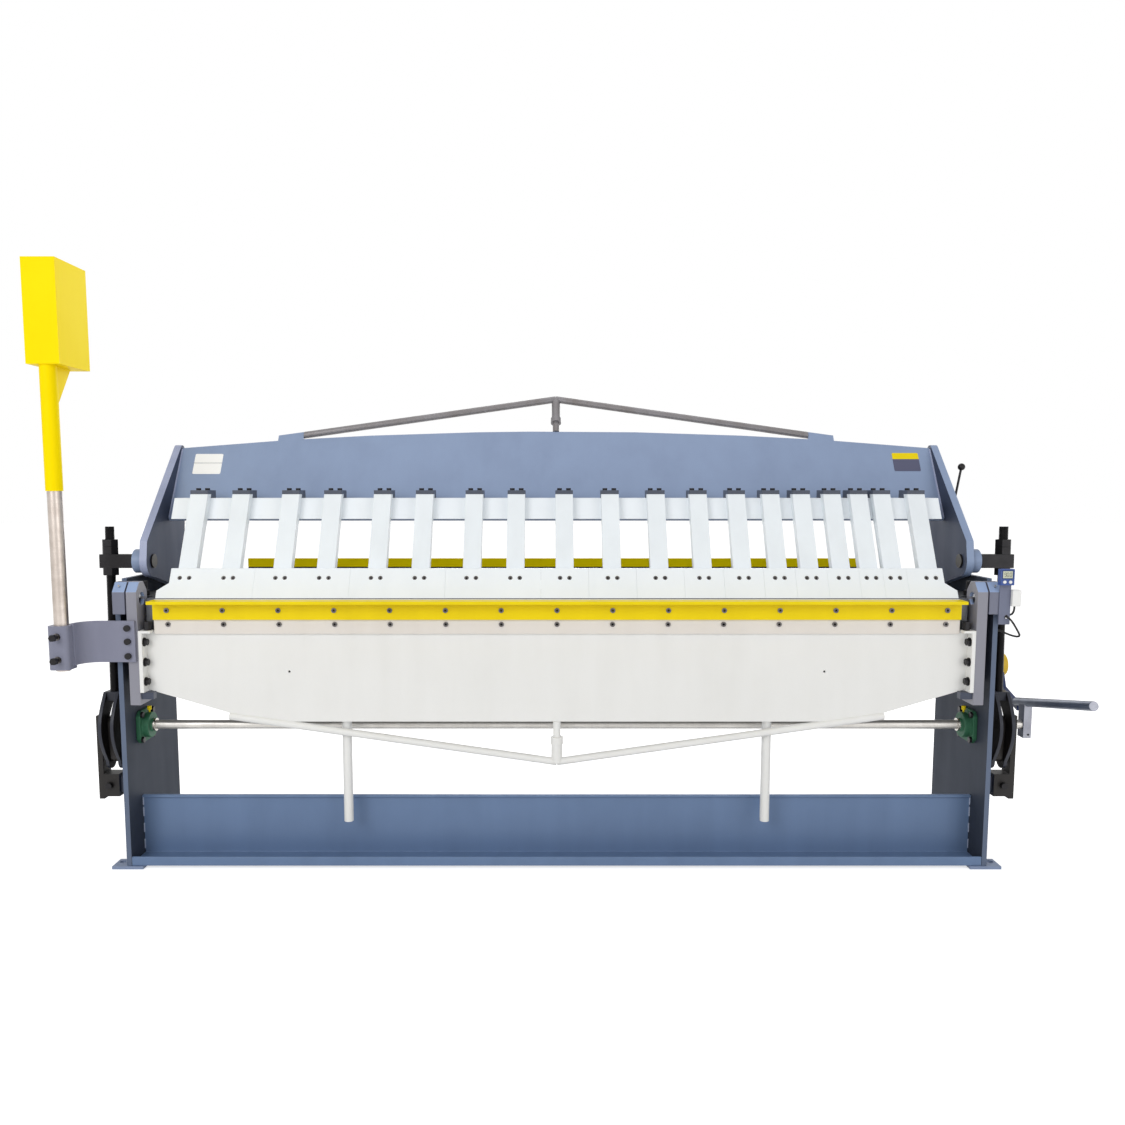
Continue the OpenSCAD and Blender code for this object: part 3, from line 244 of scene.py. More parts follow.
def merged(name):
    """A copy of a CAD node's mesh with its loose triangles joined into whole faces."""
    bm = bmesh.new()
    bm.from_mesh(frame["nodes"][name].data)
    bmesh.ops.remove_doubles(bm, verts=bm.verts, dist=JOIN_GAP)
    bmesh.ops.dissolve_limit(bm, angle_limit=LEVEL, verts=bm.verts, edges=bm.edges)
    return bm


def new_piece(name, bm, materials, body, ease=0.0, segments=2):
    """An object from a finished mesh, with broken edges, riding on its body."""
    mesh = bpy.data.meshes.new(name)
    bm.to_mesh(mesh)
    bm.free()
    piece = bpy.data.objects.new(name, mesh)
    scene.collection.objects.link(piece)
    for material in materials:
        mesh.materials.append(material)
    if ease:
        edges = piece.modifiers.new("edges", "BEVEL")
        edges.width = ease
        edges.segments = segments
        edges.limit_method = "ANGLE"
        edges.angle_limit = SHARP
        edges.use_clamp_overlap = True
        mesh.shade_smooth()
        flats = piece.modifiers.new("flats", "WEIGHTED_NORMAL")
        flats.keep_sharp = True
    else:
        mesh.shade_smooth()
        mesh.set_sharp_from_angle(angle=SHARP)
    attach(piece, body)
    return piece


def finished(name, materials, ease, choose=None, shape=None, segments=2):
    """A CAD node with its edges broken. choose gives a face's material by its middle and its
    direction, and shape works on the mesh first."""
    bm = merged(name)
    if shape:
        shape(bm)
    if choose:
        for face in bm.faces:
            if not face.material_index:
                face.material_index = choose(face.calc_center_median(), face.normal)
    if not isinstance(materials, (list, tuple)):
        materials = [materials]
    piece = new_piece(name + "_shown", bm, materials, BODY_OF[name], ease,
                      segments)
    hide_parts(name)
    return piece


RIPPLE = 0.0016
RIPPLES = (1.0, 0.93, 0.8, 0.9)
RUN_END = 0.5


def weld_runs(name, runs, radius, material, body):
    """Weld beads along straight joints, each a row of ripples."""
    curve = bpy.data.curves.new(name, "CURVE")
    curve.dimensions = "3D"
    curve.bevel_depth = radius
    curve.bevel_resolution = 1
    curve.use_fill_caps = True
    for start, end in runs:
        start, end = Vector(start), Vector(end)
        count = max(4, int((end - start).length / RIPPLE))
        line = curve.splines.new("POLY")
        line.points.add(count)
        for i, point in enumerate(line.points):
            point.co = (*start.lerp(end, i / count), 1)
            point.radius = RIPPLES[i % 4] if 0 < i < count else RUN_END
    curve.materials.append(material)
    beads = bpy.data.objects.new(name, curve)
    scene.collection.objects.link(beads)
    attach(beads, body)


plate_edge = paint("plate_edge_paint", hue(100, 112, 134), hue(76, 86, 104), roughness=0.4,
                   shine=0.2)
# The broad faces of the side plates take a darker copy of their blue-grey: painted shade.
frame_paint = paint("frame_paint", hue(58, 64, 76), hue(44, 48, 57), roughness=0.5, shine=0.1)
foot_paint = paint("foot_paint", hue(134, 149, 178), hue(108, 120, 142), roughness=0.4)
base_paint = paint("base_paint", hue(106, 129, 164), hue(84, 102, 130), roughness=0.34)
BROADSIDE = 0.7


def on_a_side(middle, facing):
    return int(abs(facing.x) > BROADSIDE)


for name in ("left_side_plate", "right_side_plate"):
    finished(name, [plate_edge, frame_paint], ease=0.0015, choose=on_a_side)
finished("floor_feet", foot_paint, ease=0.0015)
finished("base_channel", base_paint, ease=0.0025)
SIDE_X = (1.375, 1.391)  # inner and outer face of the side plates
WEB_Y = -0.1045
STITCH_LOWS, STITCH_RUN = (0.03, 0.085, 0.14, 0.178), 0.032
TOE_STARTS, TOE_RUN, TOE_Z = (-0.2, 0.12), 0.08, 0.0125
FRAME_BEAD = 0.0035
stitches = [((sign * SIDE_X[0], WEB_Y, low), (sign * SIDE_X[0], WEB_Y, low + STITCH_RUN))
            for sign in (-1, 1) for low in STITCH_LOWS]
toes = [((sign * x, start, TOE_Z), (sign * x, start + TOE_RUN, TOE_Z))
        for sign in (-1, 1) for x in SIDE_X for start in TOE_STARTS]
weld_grey = paint("weld_grey", hue(168, 178, 200), hue(120, 130, 152), roughness=0.3, cloud=0.6,
                  speck=0.8, peel=120.0, bump=0.3)
weld_runs("frame_welds", stitches, FRAME_BEAD, weld_grey, "frame")
weld_runs("foot_welds", toes, FRAME_BEAD, foot_paint, "frame")


# Bed: machined dark steel box between the side plates. Only its top and its rear face show,
# the fine lines of the cutter running across it.
def metal_group():
    """Worked steel: lines of the tool or grain one way, stains, and the relief they leave."""
    g, given, made = finish_group("worked steel", (
        ("Color", "Color", (0.6, 0.6, 0.6, 1)), ("Stain Color", "Color", (0.3, 0.3, 0.3, 1)),
        ("Grain", "Vector", (900.0, 20.0, 20.0)), ("Stain", "Float", 0.4),
        ("Roughness", "Float", 0.25)))
    place = wire(g, "ShaderNodeTexCoord").outputs["Object"]
    stretched = wire(g, "ShaderNodeMapping", Vector=place, Scale=given["Grain"])
    lines = wire(g, "ShaderNodeTexNoise", Vector=stretched.outputs[0], Scale=1.0, Detail=3.0)
    blots = wire(g, "ShaderNodeTexNoise", Vector=place, Scale=11.0, Detail=6.0, Roughness=0.65)
    stained = times(g, ranged(g, blots.outputs[0], low=0.42, high=0.7), given["Stain"])
    lined = added(g, lines.outputs[0], share=0.35, base=stained, clamp=True)
    g.links.new(blended(g, given["Color"], given["Stain Color"], lined), made["Color"])
    g.links.new(added(g, lined, share=0.2, base=given["Roughness"]), made["Roughness"])
    g.links.new(lines.outputs[0], made["Height"])
    return g


STEEL = metal_group()


def steel(name, color, stain_color, grain, roughness=0.25, stain=0.4, bump=0.1, metal=1.0):
    return coated(name, STEEL, {
        "Color": (*color, 1), "Stain Color": (*stain_color, 1), "Grain": grain, "Stain": stain,
        "Roughness": roughness}, bump, metal)


CUTTER_LINES = (30.0, 500.0, 500.0)
bed_steel = steel("bed_steel", hue(96, 98, 102), hue(60, 60, 62), CUTTER_LINES, roughness=0.35,
                  metal=0.7)
finished("bed_beam", bed_steel, ease=0.001)

# Hinge blocks: sawn bar bolted in the notch of each side plate, painted light grey. Their
# chamfers are painted brighter, a painted highlight where they face up to the light. A chromed
# pin runs in the bore, and a grease nipple sits on the chamfer.
RINGS_X = (900.0, 25.0, 25.0)
EVEN = (220.0, 220.0, 220.0)
block_paint = paint("block_paint", hue(118, 121, 138), hue(96, 98, 114), roughness=0.36)
chamfer_highlight = paint("chamfer_highlight", hue(150, 170, 205), hue(120, 138, 170), roughness=0.3)
chrome = steel("chrome", hue(206, 206, 208), hue(150, 148, 146), RINGS_X, roughness=0.12,
               stain=0.35, bump=0.02)
nickel = steel("nickel", hue(196, 192, 186), hue(140, 136, 130), EVEN, roughness=0.2, stain=0.3,
               bump=0.03)
yellow = paint("yellow_paint", hue(240, 214, 6), hue(206, 178, 4), roughness=0.34, cloud=0.3,
               speck=0.2, shine=0.18)
CHAMFER_TURN = 0.25


def on_a_chamfer(middle, facing):
    return int(abs(facing.y) > CHAMFER_TURN and abs(facing.z) > CHAMFER_TURN)


finished("hinge_blocks", [block_paint, chamfer_highlight], ease=0.0015, choose=on_a_chamfer)
finished("pivot_pins", chrome, ease=0.001)
NIPPLE_Z = 0.9
finished("grease_fittings", [yellow, nickel], ease=0.0006,
         choose=lambda middle, facing: int(middle.z > NIPPLE_Z))

# Bearings and shaft: square cast units in green enamel, rough as cast, which carry a ground and
# chromed cross shaft from side to side.
bearing_green = paint("bearing_green", hue(50, 104, 76), hue(24, 62, 44), roughness=0.5,
                      cloud=0.6, speck=0.5, peel=150.0, bump=0.35)
shaft_steel = steel("shaft_steel", hue(214, 211, 206), hue(160, 156, 150), RINGS_X,
                    roughness=0.34, stain=0.3, bump=0.03, metal=0.75)
finished("flange_bearings", bearing_green, ease=0.0025, segments=3)
finished("cross_shaft", shaft_steel, ease=0.0015)
SHAFT_AT = Vector((0, -0.0805, 0.446))
COLLAR_R, SHAFT_R, COLLAR_REACH, COLLAR_SINK = 0.0215, 0.0151, 0.007, 0.002


def ring_on_shaft(bm, x0, x1, inner, outer, steps=32):
    """A collar round the cross shaft: its section, spun once about the shaft."""
    section = [bm.verts.new((x, SHAFT_AT.y + r, SHAFT_AT.z))
               for x, r in ((x0, inner), (x0, outer), (x1, outer), (x1, inner))]
    edges = [bm.edges.new((a, b)) for a, b in zip(section, section[1:] + section[:1])]
    bmesh.ops.spin(bm, geom=section + edges, cent=SHAFT_AT, axis=(1, 0, 0), angle=2 * math.pi,
                   steps=steps, use_merge=True)
    bmesh.ops.recalc_face_normals(bm, faces=bm.faces)


boss_x = min(abs(v.co.x) for v in frame["nodes"]["flange_bearings"].data.vertices)
collars = bmesh.new()
for sign in (-1, 1):
    x0, x1 = sorted((sign * (boss_x - COLLAR_REACH), sign * (boss_x + COLLAR_SINK)))
    ring_on_shaft(collars, x0, x1, SHAFT_R, COLLAR_R)
new_piece("bearing_collars", collars, [nickel], "frame", ease=0.0006)

# Outboard brackets: a lug, a spacer block and an outer plate that carry the shaft's ends, in
# brown-black paint, each held by hexagon bolts of black oxide steel.
linkage = paint("linkage_paint", hue(36, 33, 32), hue(22, 20, 19), roughness=0.42, cloud=0.5,
                speck=0.4)
lug_paint = paint("lug_paint", hue(66, 72, 88), hue(48, 52, 64), roughness=0.38)
oxide = steel("black_oxide", hue(46, 45, 47), hue(26, 25, 26), EVEN, roughness=0.3, stain=0.5,
              bump=0.1, metal=0.6)
LUG_END = 1.4505
finished("outboard_brackets", [linkage, lug_paint], ease=0.0015,
         choose=lambda middle, facing: int(abs(middle.x) < LUG_END))
finished("frame_bolts", oxide, ease=0.0009)

# Readout: a blue housing with a grey-green display and two white buttons on a bent steel
# bracket, a white sensor box beside it, and the black cable that joins them to the frame.
readout_blue = paint("readout_blue", hue(60, 84, 148), hue(46, 66, 124), roughness=0.28,
                     cloud=0.2, speck=0.1)
bracket_grey = paint("bracket_grey", hue(112, 117, 138), hue(86, 90, 108), roughness=0.36)
plastic_white = paint("plastic_white", hue(240, 240, 238), hue(214, 214, 210), roughness=0.4,
                      cloud=0.2, speck=0.1)
plastic_black = paint("plastic_black", hue(26, 26, 27), hue(16, 16, 16), roughness=0.42,
                      cloud=0.3, speck=0.2, peel=500.0, bump=0.15)
display_green = paint("display_green", hue(196, 200, 178), hue(176, 182, 160), roughness=0.12,
                      cloud=0.2, speck=0.0)
digit_black = paint("digit_black", hue(30, 34, 30), hue(24, 28, 24), roughness=0.3, cloud=0.1,
                    speck=0.0)
finished("readout_bracket", bracket_grey, ease=0.0006)
finished("readout_housing", readout_blue, ease=0.0025, segments=3)
finished("readout_screen", display_green, ease=0.0002)
finished("sensor_box", plastic_white, ease=0.002, segments=3)
finished("power_button", plastic_white, ease=0.0008)
finished("zero_button", plastic_white, ease=0.0008)

PANEL_Y = -0.2565
PANEL_Z = 0.961
SEGMENTS = {"9": "abcdfg", "0": "abcdef"}  # a top, then clockwise, g the middle bar
DIGITS = (("9", 1.3835), ("0", 1.3910), ("0", 1.4000))
POINT_AT = (1.3955, PANEL_Y, 0.9555)
DIGIT_W, DIGIT_H, DIGIT_BAR, DIGIT_T = 0.0052, 0.0115, 0.0011, 0.0003
BAR_PLACE = {"a": (0, 1, 1), "g": (0, 0, 1), "d": (0, -1, 1), "b": (1, 0.5, 0),
             "c": (1, -0.5, 0), "e": (-1, -0.5, 0), "f": (-1, 0.5, 0)}


def box_at(bm, middle, size):
    """A small block about a point, from a unit cube."""
    place = Matrix.Translation(middle) @ Matrix.Diagonal((*size, 1))
    bmesh.ops.create_cube(bm, size=1.0, matrix=place)


digits = bmesh.new()
for figure, x in DIGITS:
    for bar in SEGMENTS[figure]:
        across, up, flat = BAR_PLACE[bar]
        middle = (x + across * DIGIT_W / 2, PANEL_Y, PANEL_Z + up * DIGIT_H / 2)
        if flat:
            box_at(digits, middle, (DIGIT_W - DIGIT_BAR, DIGIT_T, DIGIT_BAR))
        else:
            box_at(digits, middle, (DIGIT_BAR, DIGIT_T, DIGIT_H / 2 - DIGIT_BAR))
box_at(digits, POINT_AT, (DIGIT_BAR, DIGIT_T, DIGIT_BAR))
new_piece("readout_digits", digits, [digit_black], "frame")


def flat_frame(bm, middle, width, height, rim, thickness):
    """A flat rectangular frame that faces the front, from a grid with its middle taken out."""
    place = Matrix.Translation(middle) @ Matrix.Rotation(math.pi / 2, 4, "X") \
        @ Matrix.Diagonal((width / 2, height / 2, 1, 1))
    made = bmesh.ops.create_grid(bm, x_segments=1, y_segments=1, size=1.0, matrix=place)
    panel = made["verts"][0].link_faces[0]
    bmesh.ops.inset_individual(bm, faces=[panel], thickness=rim)
    bmesh.ops.delete(bm, geom=[panel], context="FACES")
    bmesh.ops.solidify(bm, geom=bm.faces[:], thickness=thickness)
    bmesh.ops.recalc_face_normals(bm, faces=bm.faces)


bezel = bmesh.new()
flat_frame(bezel, (1.391, PANEL_Y, PANEL_Z), width=0.0345, height=0.0265, rim=0.0024,
           thickness=0.0006)
bezel_blue = paint("bezel_blue", hue(28, 40, 84), hue(20, 30, 66), roughness=0.3, cloud=0.2,
                   speck=0.1)
new_piece("readout_bezel", bezel, [bezel_blue], "frame", ease=0.0002)

CABLE_D = 0.006
CABLE_STEPS = [  # from the side plate's outer face, the readout bracket and the bed's top, mm
    (35, -3, -19), (35, -3, -26), (35, -1.5, -33), (35, 3, -40), (34.5, 9, -45.5),
    (32, 15.5, -49), (27.5, 20.5, -51), (21.5, 22, -52.3), (15.5, 19.5, -53), (12, 14, -53),
    (11, 7, -53), (11, -1, -53), (11.5, -9, -53.3), (14, -16, -56), (19.5, -20.5, -63),
    (27, -22, -74), (35.5, -21, -87), (43.5, -19, -99), (49.5, -15, -108), (51.5, -8, -113.5),
    (48, -1, -115.5), (40, 6, -114.5), (31, 12.5, -111.5), (22, 20, -107.5), (13, 27.5, -103),
    (6, 31, -101), (0, 31, -101)]
CABLE_FROM = Vector((1.391, -0.040 + EDGE_Y, 0.880))
route = [CABLE_FROM + Vector(step) / 1000 for step in CABLE_STEPS]
cable_line = bpy.data.curves.new("readout_lead", "CURVE")
cable_line.dimensions = "3D"
cable_line.bevel_depth = CABLE_D / 2
cable_line.bevel_resolution = 4
cable_line.use_fill_caps = True
cable_path = cable_line.splines.new("POLY")
cable_path.points.add(len(route) - 1)
for point, at in zip(cable_path.points, route):
    point.co = (*at, 1)
cable_line.materials.append(plastic_black)
cable = bpy.data.objects.new("readout_lead", cable_line)
scene.collection.objects.link(cable)
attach(cable, "frame")
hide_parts("readout_cable")

# Back gauge: a yellow stop bar bolted to a black carriage, which slides on two ground rails
# behind the bed.
weight_yellow = paint("weight_yellow", hue(255, 228, 0), hue(240, 200, 0), roughness=0.38,
                      cloud=0.25, speck=0.15, shine=0.04)
RINGS_Z = (25.0, 25.0, 900.0)
ground_steel = steel("ground_steel", hue(196, 188, 180), hue(136, 126, 116), RINGS_Z,
                     roughness=0.26)
finished("gauge_rails", ground_steel, ease=0.001)
finished("back_gauge_bar", weight_yellow, ease=0.0012)
finished("gauge_carriage", oxide, ease=0.002)

# Clamping beam: two flame-cut arms and a leaning, arched plate welded between them, in lighter
# blue-grey. Two thin plain plates are stuck to its face, a white one on the left and a dark one
# with a yellow top on the right.
beam_paint = paint("beam_paint", hue(140, 157, 187), hue(118, 132, 160), roughness=0.33,
                   cloud=0.35)
# The broad sides of both beam arms take a much darker copy of the blue-grey: painted shade.
arm_side_shade = paint("arm_side_paint", hue(66, 74, 94), hue(50, 56, 72), roughness=0.45, shine=0.1)
arm_edge = paint("arm_edge_paint", hue(166, 174, 202), hue(120, 128, 152), roughness=0.34,
                 cloud=0.5, speck=0.7, peel=160.0, bump=0.3)
finished("left_beam_arm", [arm_edge, arm_side_shade], ease=0.002, choose=on_a_side)
finished("right_beam_arm", [beam_paint, arm_side_shade], ease=0.002, choose=on_a_side)
finished("beam_plate", beam_paint, ease=0.0012)
PLATE_FOOT = Vector((0, 0.0755, 1.122))
PLATE_LEAN = math.radians(31.4)
PLATE_T = 0.012
PLATE_SPACE = Matrix.Translation(PLATE_FOOT) @ Matrix.Rotation(math.pi / 2 - PLATE_LEAN, 4, "X")
PLATE_HALF = 1.3245
PLATE_RUN = (0.004, 0.284)  # up the slope of the plate, from its foot
BEAM_BEAD = 0.0042
plate_joints = [[PLATE_SPACE @ Vector((sign * PLATE_HALF, along, depth)) for along in PLATE_RUN]
                for sign in (-1, 1) for depth in (0.0, -PLATE_T)]
weld_runs("beam_welds", plate_joints, BEAM_BEAD, arm_edge, "upper_beam")

label_white = paint("label_white", hue(250, 250, 248), hue(232, 232, 230), roughness=0.3,
                    cloud=0.15, speck=0.0)
label_line = paint("label_line", hue(168, 170, 176), hue(150, 152, 158), roughness=0.35,
                   cloud=0.1, speck=0.0)
label_dark = paint("label_dark", hue(86, 88, 112), hue(70, 72, 92), roughness=0.3, cloud=0.15,
                   speck=0.0)
LABEL_T = 0.0008
LABEL_ROUNDING = 0.05


def label_plate(name, middle, size, bands, materials):
    """A thin plate with round corners on the beam plate's face. bands are heights, as shares
    of the plate, at which its colour changes."""
    bm = bmesh.new()
    place = PLATE_SPACE @ Matrix.Translation((*middle, LABEL_T / 2)) \
        @ Matrix.Diagonal((*size, LABEL_T, 1))
    bmesh.ops.create_cube(bm, size=1.0)
    corners = [e for e in bm.edges if abs(e.verts[0].co.z - e.verts[1].co.z) > 0.5]
    bmesh.ops.bevel(bm, geom=corners, offset=LABEL_ROUNDING, segments=4, profile=0.5,
                    affect="EDGES", material=-1)
    for share in bands:
        bmesh.ops.bisect_plane(bm, geom=bm.verts[:] + bm.edges[:] + bm.faces[:],
                               plane_co=(0, share - 0.5, 0), plane_no=(0, 1, 0))
    for face in bm.faces:
        above = face.calc_center_median().y + 0.5
        face.material_index = sum(above > share for share in bands) % len(materials)
    bmesh.ops.transform(bm, matrix=place, verts=bm.verts)
    new_piece(name, bm, materials, "upper_beam")


label_plate("left_label_plate", middle=(-1.224, 0.222), size=(0.098, 0.083), bands=(0.53, 0.56),
            materials=[label_white, label_line])
label_plate("right_label_plate", middle=(1.232, 0.230), size=(0.092, 0.075), bands=(0.66, ),
            materials=[label_dark, yellow])

# Top truss: a ground steel bar, bent in the middle over a short strut and welded at its ends to
# the raised parts of the plate's upper edge, which it stiffens. The strut is a stud with a
# collar, and a tube that carries the bar.
truss_steel = steel("truss_steel", hue(138, 136, 140), hue(100, 90, 80), RINGS_X, roughness=0.34,
                    metal=0.5)
finished("top_truss_rod", truss_steel, ease=0.001)
finished("top_truss_strut", truss_steel, ease=0.001)

# Finger beam, fingers and stems: white enamel on machined steel, with dark clamp caps and black
# socket screws. Every screw head has a hexagon socket, painted near black inside as shade, and a
# rim painted bright as a highlight.
white = paint("finger_white", hue(238, 243, 247), hue(216, 222, 228), roughness=0.32, cloud=0.25,
              speck=0.15)
stem_white = paint("stem_white", hue(236, 242, 246), hue(206, 210, 214), roughness=0.34,
                   cloud=0.3, speck=0.15)
cap_paint = paint("cap_paint", hue(80, 86, 100), hue(58, 62, 72), roughness=0.36, cloud=0.4)
screw_rim_highlight = steel("screw_rim_highlight", hue(120, 116, 116), hue(70, 66, 64), EVEN, roughness=0.25,
                  stain=0.4, bump=0.1, metal=0.9)
SOCKET_SHADE = steel("socket_painted_shade", hue(16, 15, 15), hue(8, 8, 8), EVEN, roughness=0.5,
                     stain=0.4, bump=0.1, metal=0.2)
SIXTH = math.pi / 3
ROUND_CORNERS = 12  # a round end has at least so many
SQUARE_ON = 0.9
RIM_SHARE = 0.2
SOCKET_SHARE = 0.46


def hex_sockets(bm, facing, radii, flats_share, depth):
    """Sinks a hexagon socket in each round end that looks one way and has about that size."""
    for face in bm.faces[:]:
        if len(face.verts) < ROUND_CORNERS or face.normal.dot(facing) < SQUARE_ON:
            continue
        middle = face.calc_center_median()
        radius = (face.verts[0].co - middle).length
        if not radii[0] < radius < radii[1]:
            continue
        right = face.normal.orthogonal()
        up = face.normal.cross(right)
        # The end face's rim and the socket's walls take the second material, and the socket's
        # floor the third. The screws use them for a painted highlight and for painted shade.
        face.material_index = 1
        bmesh.ops.inset_individual(bm, faces=[face], thickness=radius * RIM_SHARE)
        for vert in face.verts:
            arm = vert.co - middle
            turn = math.atan2(arm.dot(up), arm.dot(right)) % SIXTH
            reach = radius * flats_share / math.cos(turn - SIXTH / 2)
            vert.co = middle + arm.normalized() * reach
        bmesh.ops.inset_individual(bm, faces=[face], thickness=0.0, depth=-depth)
        face.material_index = 2


FINGER_LEAN = math.radians(28)
SHOE_FRONT = Vector((0, -math.cos(FINGER_LEAN), math.sin(FINGER_LEAN)))
finished("finger_beam", white, ease=0.001)
for name in ("fingers_12in", "fingers_6in_5in", "fingers_4in_3in"):
    finished(name, white, ease=0.0008)
finished("finger_stems", stem_white, ease=0.001)
finished("clamp_caps", cap_paint, ease=0.001)


def socket_bolts(bm):
    hex_sockets(bm, SHOE_FRONT, radii=(0.004, 0.009), flats_share=SOCKET_SHARE, depth=0.003)
    hex_sockets(bm, Vector((0, 0, 1)), radii=(0.004, 0.011), flats_share=SOCKET_SHARE,
                depth=0.004)


finished("finger_bolts", [oxide, screw_rim_highlight, SOCKET_SHADE], ease=0.0004, shape=socket_bolts)

# Catch lever: a small black steel lever with a ball end, which turns in the right arm, and a
# black plastic knob on the same arm below it.
finished("catch_lever", oxide, ease=0.0008)
finished("catch_knob", plastic_black, ease=0.001)

# Clamp drive: threaded rods with chamfered nuts hang the trunnions from bent links on cranks,
# all black oxide steel and brown-black paint. The trunnion bosses are painted with the arms.
BOSS_X = (1.349, 1.3805)
link_edge = paint("link_edge_paint", hue(46, 49, 60), hue(32, 34, 42), roughness=0.34, cloud=0.5,
                  speck=0.4)
link_side = paint("link_side_paint", hue(24, 22, 22), hue(14, 13, 13), roughness=0.5, cloud=0.5,
                  speck=0.4, shine=0.15)


def on_the_boss(middle, facing):
    return int(BOSS_X[0] < abs(middle.x) < BOSS_X[1])


for side in ("left", "right"):
    finished(side + "_trunnion", [oxide, beam_paint], ease=0.0012, choose=on_the_boss)
    finished(side + "_rod_nuts", oxide, ease=0.0016)
    finished(side + "_c_links", [link_edge, link_side], ease=0.0018, choose=on_a_side)
finished("shaft_cranks", linkage, ease=0.0015)
THREAD_PITCH, THREAD_DEPTH, THREAD_STEPS = 0.0035, 0.0015, 20
CREST = (0.42, 0.58)  # the shares of the pitch between which a tooth is flat


def thread_between(bm, start, end, radius):
    """A cut thread: one tooth's profile, repeated along the bar and swept once round with the
    lead of one pitch, then cut square at both ends."""
    length = (end - start).length
    corners = []
    for tooth in range(-1, int(length / THREAD_PITCH) + 2):
        for share, r in ((0.0, radius - THREAD_DEPTH), (CREST[0], radius), (CREST[1], radius)):
            corners.append(bm.verts.new((r, 0, (tooth + share) * THREAD_PITCH)))
    profile = [bm.edges.new(pair) for pair in zip(corners, corners[1:])]
    bmesh.ops.spin(bm, geom=corners + profile, cent=(0, 0, 0), axis=(0, 0, 1),
                   dvec=(0, 0, THREAD_PITCH / THREAD_STEPS), angle=2 * math.pi,
                   steps=THREAD_STEPS, use_merge=False)
    bmesh.ops.remove_doubles(bm, verts=bm.verts, dist=JOIN_GAP)
    for at, away in ((0.0, -1), (length, 1)):
        bmesh.ops.bisect_plane(bm, geom=bm.verts[:] + bm.edges[:] + bm.faces[:],
                               plane_co=(0, 0, at), plane_no=(0, 0, away), clear_outer=True)
        rim = [e for e in bm.edges if e.is_boundary
               and all(abs(v.co.z - at) < JOIN_GAP for v in e.verts)]
        bmesh.ops.holes_fill(bm, edges=rim, sides=0)
    bmesh.ops.recalc_face_normals(bm, faces=bm.faces)
    turn = (end - start).to_track_quat("Z", "Y").to_matrix().to_4x4()
    bmesh.ops.transform(bm, matrix=Matrix.Translation(start) @ turn, verts=bm.verts)


for side in ("left", "right"):
    bar = merged(side + "_clamp_rod")
    ends = sorted((f for f in bar.faces if len(f.verts) > ROUND_CORNERS),
                  key=lambda f: f.normal.z)
    start, end = ends[0].calc_center_median(), ends[-1].calc_center_median()
    radius = (ends[0].verts[0].co - start).length
    bar.free()
    bm = bmesh.new()
    thread_between(bm, start, end, radius)
    rod = new_piece(side + "_threaded_rod", bm, [oxide], side + "_rod")
    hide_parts(side + "_clamp_rod")

# Hand lever: a tube through a cast hub on the shaft's right end, and behind it a bent arm with
# an orange-yellow disc that balances it.
lever_paint = steel("lever_paint", hue(82, 92, 112), hue(56, 62, 78), EVEN, roughness=0.3,
                    stain=0.4, bump=0.08, metal=0.3)
hub_grey = steel("hub_grey", hue(168, 170, 180), hue(120, 120, 130), EVEN, roughness=0.34,
                 stain=0.4, bump=0.2, metal=0.5)
# The hub's side faces are painted dark blue as shade, and its front face light grey.
hub_side_shade = paint("hub_side_paint", hue(58, 68, 96), hue(40, 48, 70), roughness=0.36)
arm_blue = paint("arm_blue_paint", hue(34, 52, 100), hue(26, 40, 78), roughness=0.36)
disc_yellow = paint("disc_yellow", hue(246, 206, 60), hue(222, 174, 40), roughness=0.34,
                    cloud=0.35)
FRONT = Vector((0, -1, 0))
SET_SCREW_AT = (1.5595, -0.0996, 0.4155)
SET_SCREW_R, SET_SCREW_H = 0.0035, 0.001
set_screw = bmesh.new()
bmesh.ops.create_cone(set_screw, cap_ends=True, segments=24, radius1=SET_SCREW_R,
                      radius2=SET_SCREW_R, depth=SET_SCREW_H,
                      matrix=Matrix.Translation(SET_SCREW_AT)
                      @ Matrix.Rotation(math.pi / 2, 4, "X"))
hex_sockets(set_screw, FRONT, radii=(0.002, 0.005), flats_share=0.6, depth=0.0006)
# The set screw's end face and socket are painted near black, as shade.
new_piece("hub_set_screw", set_screw, [oxide, SOCKET_SHADE, SOCKET_SHADE], "clamp_shaft")
END_ON = -0.9
finished("lever_handle", [lever_paint, hub_grey], ease=0.002,
         choose=lambda middle, facing: int(facing.y < END_ON))
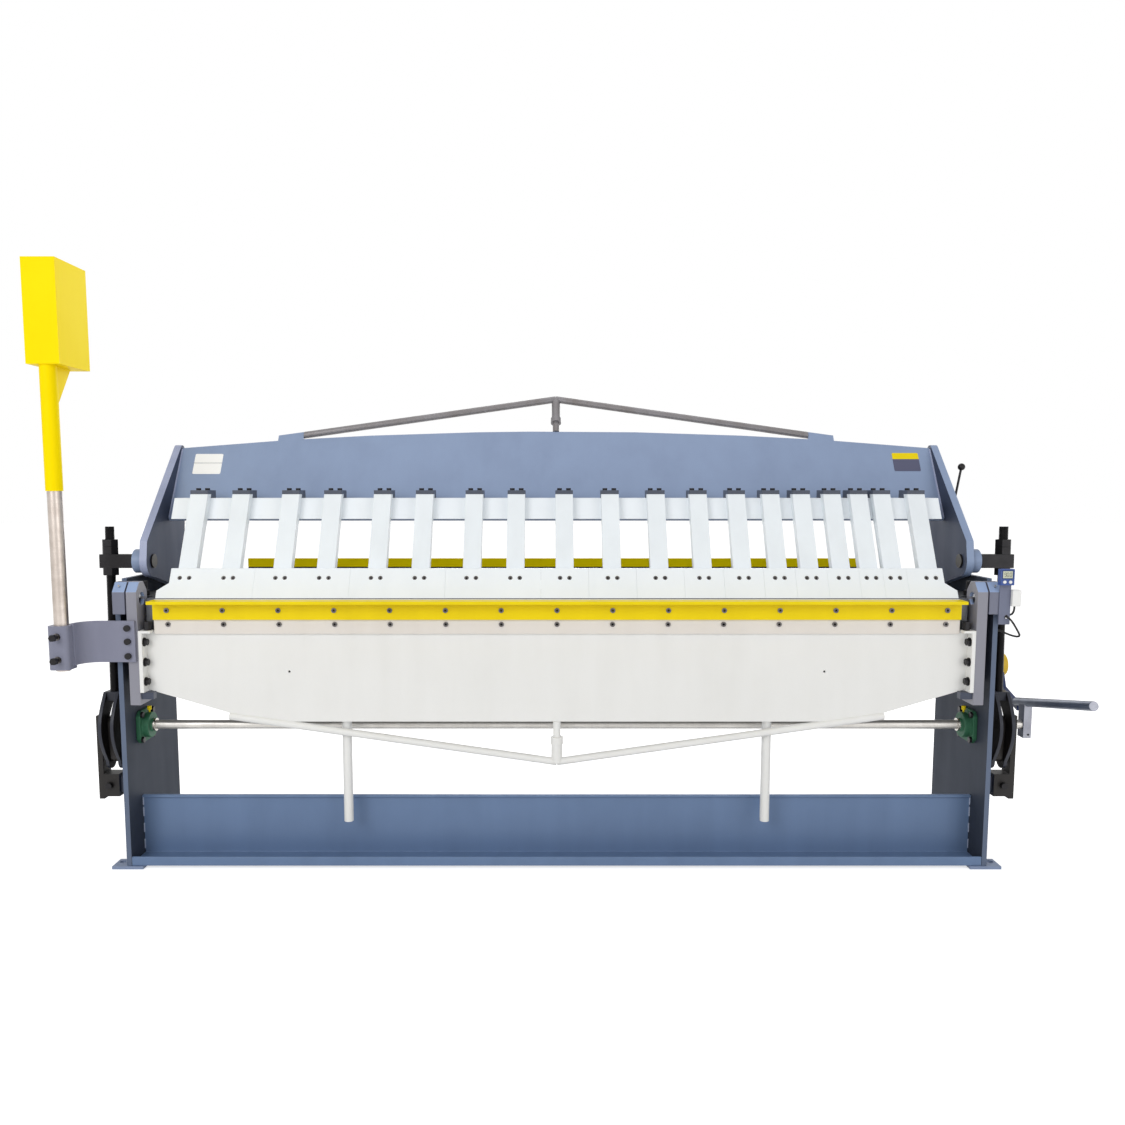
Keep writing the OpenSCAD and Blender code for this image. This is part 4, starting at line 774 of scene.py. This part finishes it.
finished("lever_hub", [hub_grey, hub_side_shade], ease=0.002, choose=on_a_side)
DISC_MIDDLE = Vector((0.3120 + EDGE_Y, 0.611))
DISC_RADIUS = 0.0395


def on_the_disc(middle, facing):
    return int((Vector((middle.y, middle.z)) - DISC_MIDDLE).length < DISC_RADIUS)


finished("lever_weight", [arm_blue, disc_yellow], ease=0.002, choose=on_the_disc)

# Apron: a cream plate with a blade bar along its top, closed by end flanges and stiffened by a
# truss bar below. Hinge arms carry it, and the yellow angle guards the bending edge.
cream = paint("cream_paint", hue(234, 234, 232), hue(214, 213, 208), roughness=0.34, cloud=0.25,
              speck=0.15)
blade_cream = paint("blade_cream", hue(226, 221, 216), hue(204, 197, 190), roughness=0.34,
                    cloud=0.3, speck=0.15)
arm_grey = paint("apron_arm_paint", hue(142, 142, 152), hue(112, 112, 124), roughness=0.34)
for name in ("apron_plate", "apron_truss_rod", "apron_truss_strut", "apron_handles"):
    finished(name, cream, ease=0.001)
FLANGE_LUG_Z = 0.585
finished("apron_end_flanges", [cream, lug_paint], ease=0.001,
         choose=lambda middle, facing: int(middle.z < FLANGE_LUG_Z))
# The apron arms' chamfers are painted brighter too, as a painted highlight.
finished("apron_arms", [arm_grey, chamfer_highlight], ease=0.0015, choose=on_a_chamfer)
finished("blade_bar", blade_cream, ease=0.001)
finished("flange_angle", yellow, ease=0.0012)


def socket_screws(bm):
    hex_sockets(bm, FRONT, radii=(0.004, 0.0095), flats_share=SOCKET_SHARE, depth=0.003)


# The apron screws' rims carry a painted highlight, and their sockets carry painted shade.
finished("apron_screws", [oxide, screw_rim_highlight, SOCKET_SHADE], ease=0.0005, shape=socket_screws)

# Counterweight: a bright yellow box and sleeve on a bare steel pole, clamped in the end of a
# bent strap that is bolted to the left hinge arm.
strap_paint = paint("strap_paint", hue(132, 134, 152), hue(104, 106, 124), roughness=0.34)
pole_steel = steel("pole_steel", hue(208, 198, 190), hue(150, 138, 128), RINGS_Z, roughness=0.28,
                   stain=0.5)
finished("weight_bracket", strap_paint, ease=0.0018)
finished("weight_box", weight_yellow, ease=0.003)
finished("weight_pole", pole_steel, ease=0.0015)
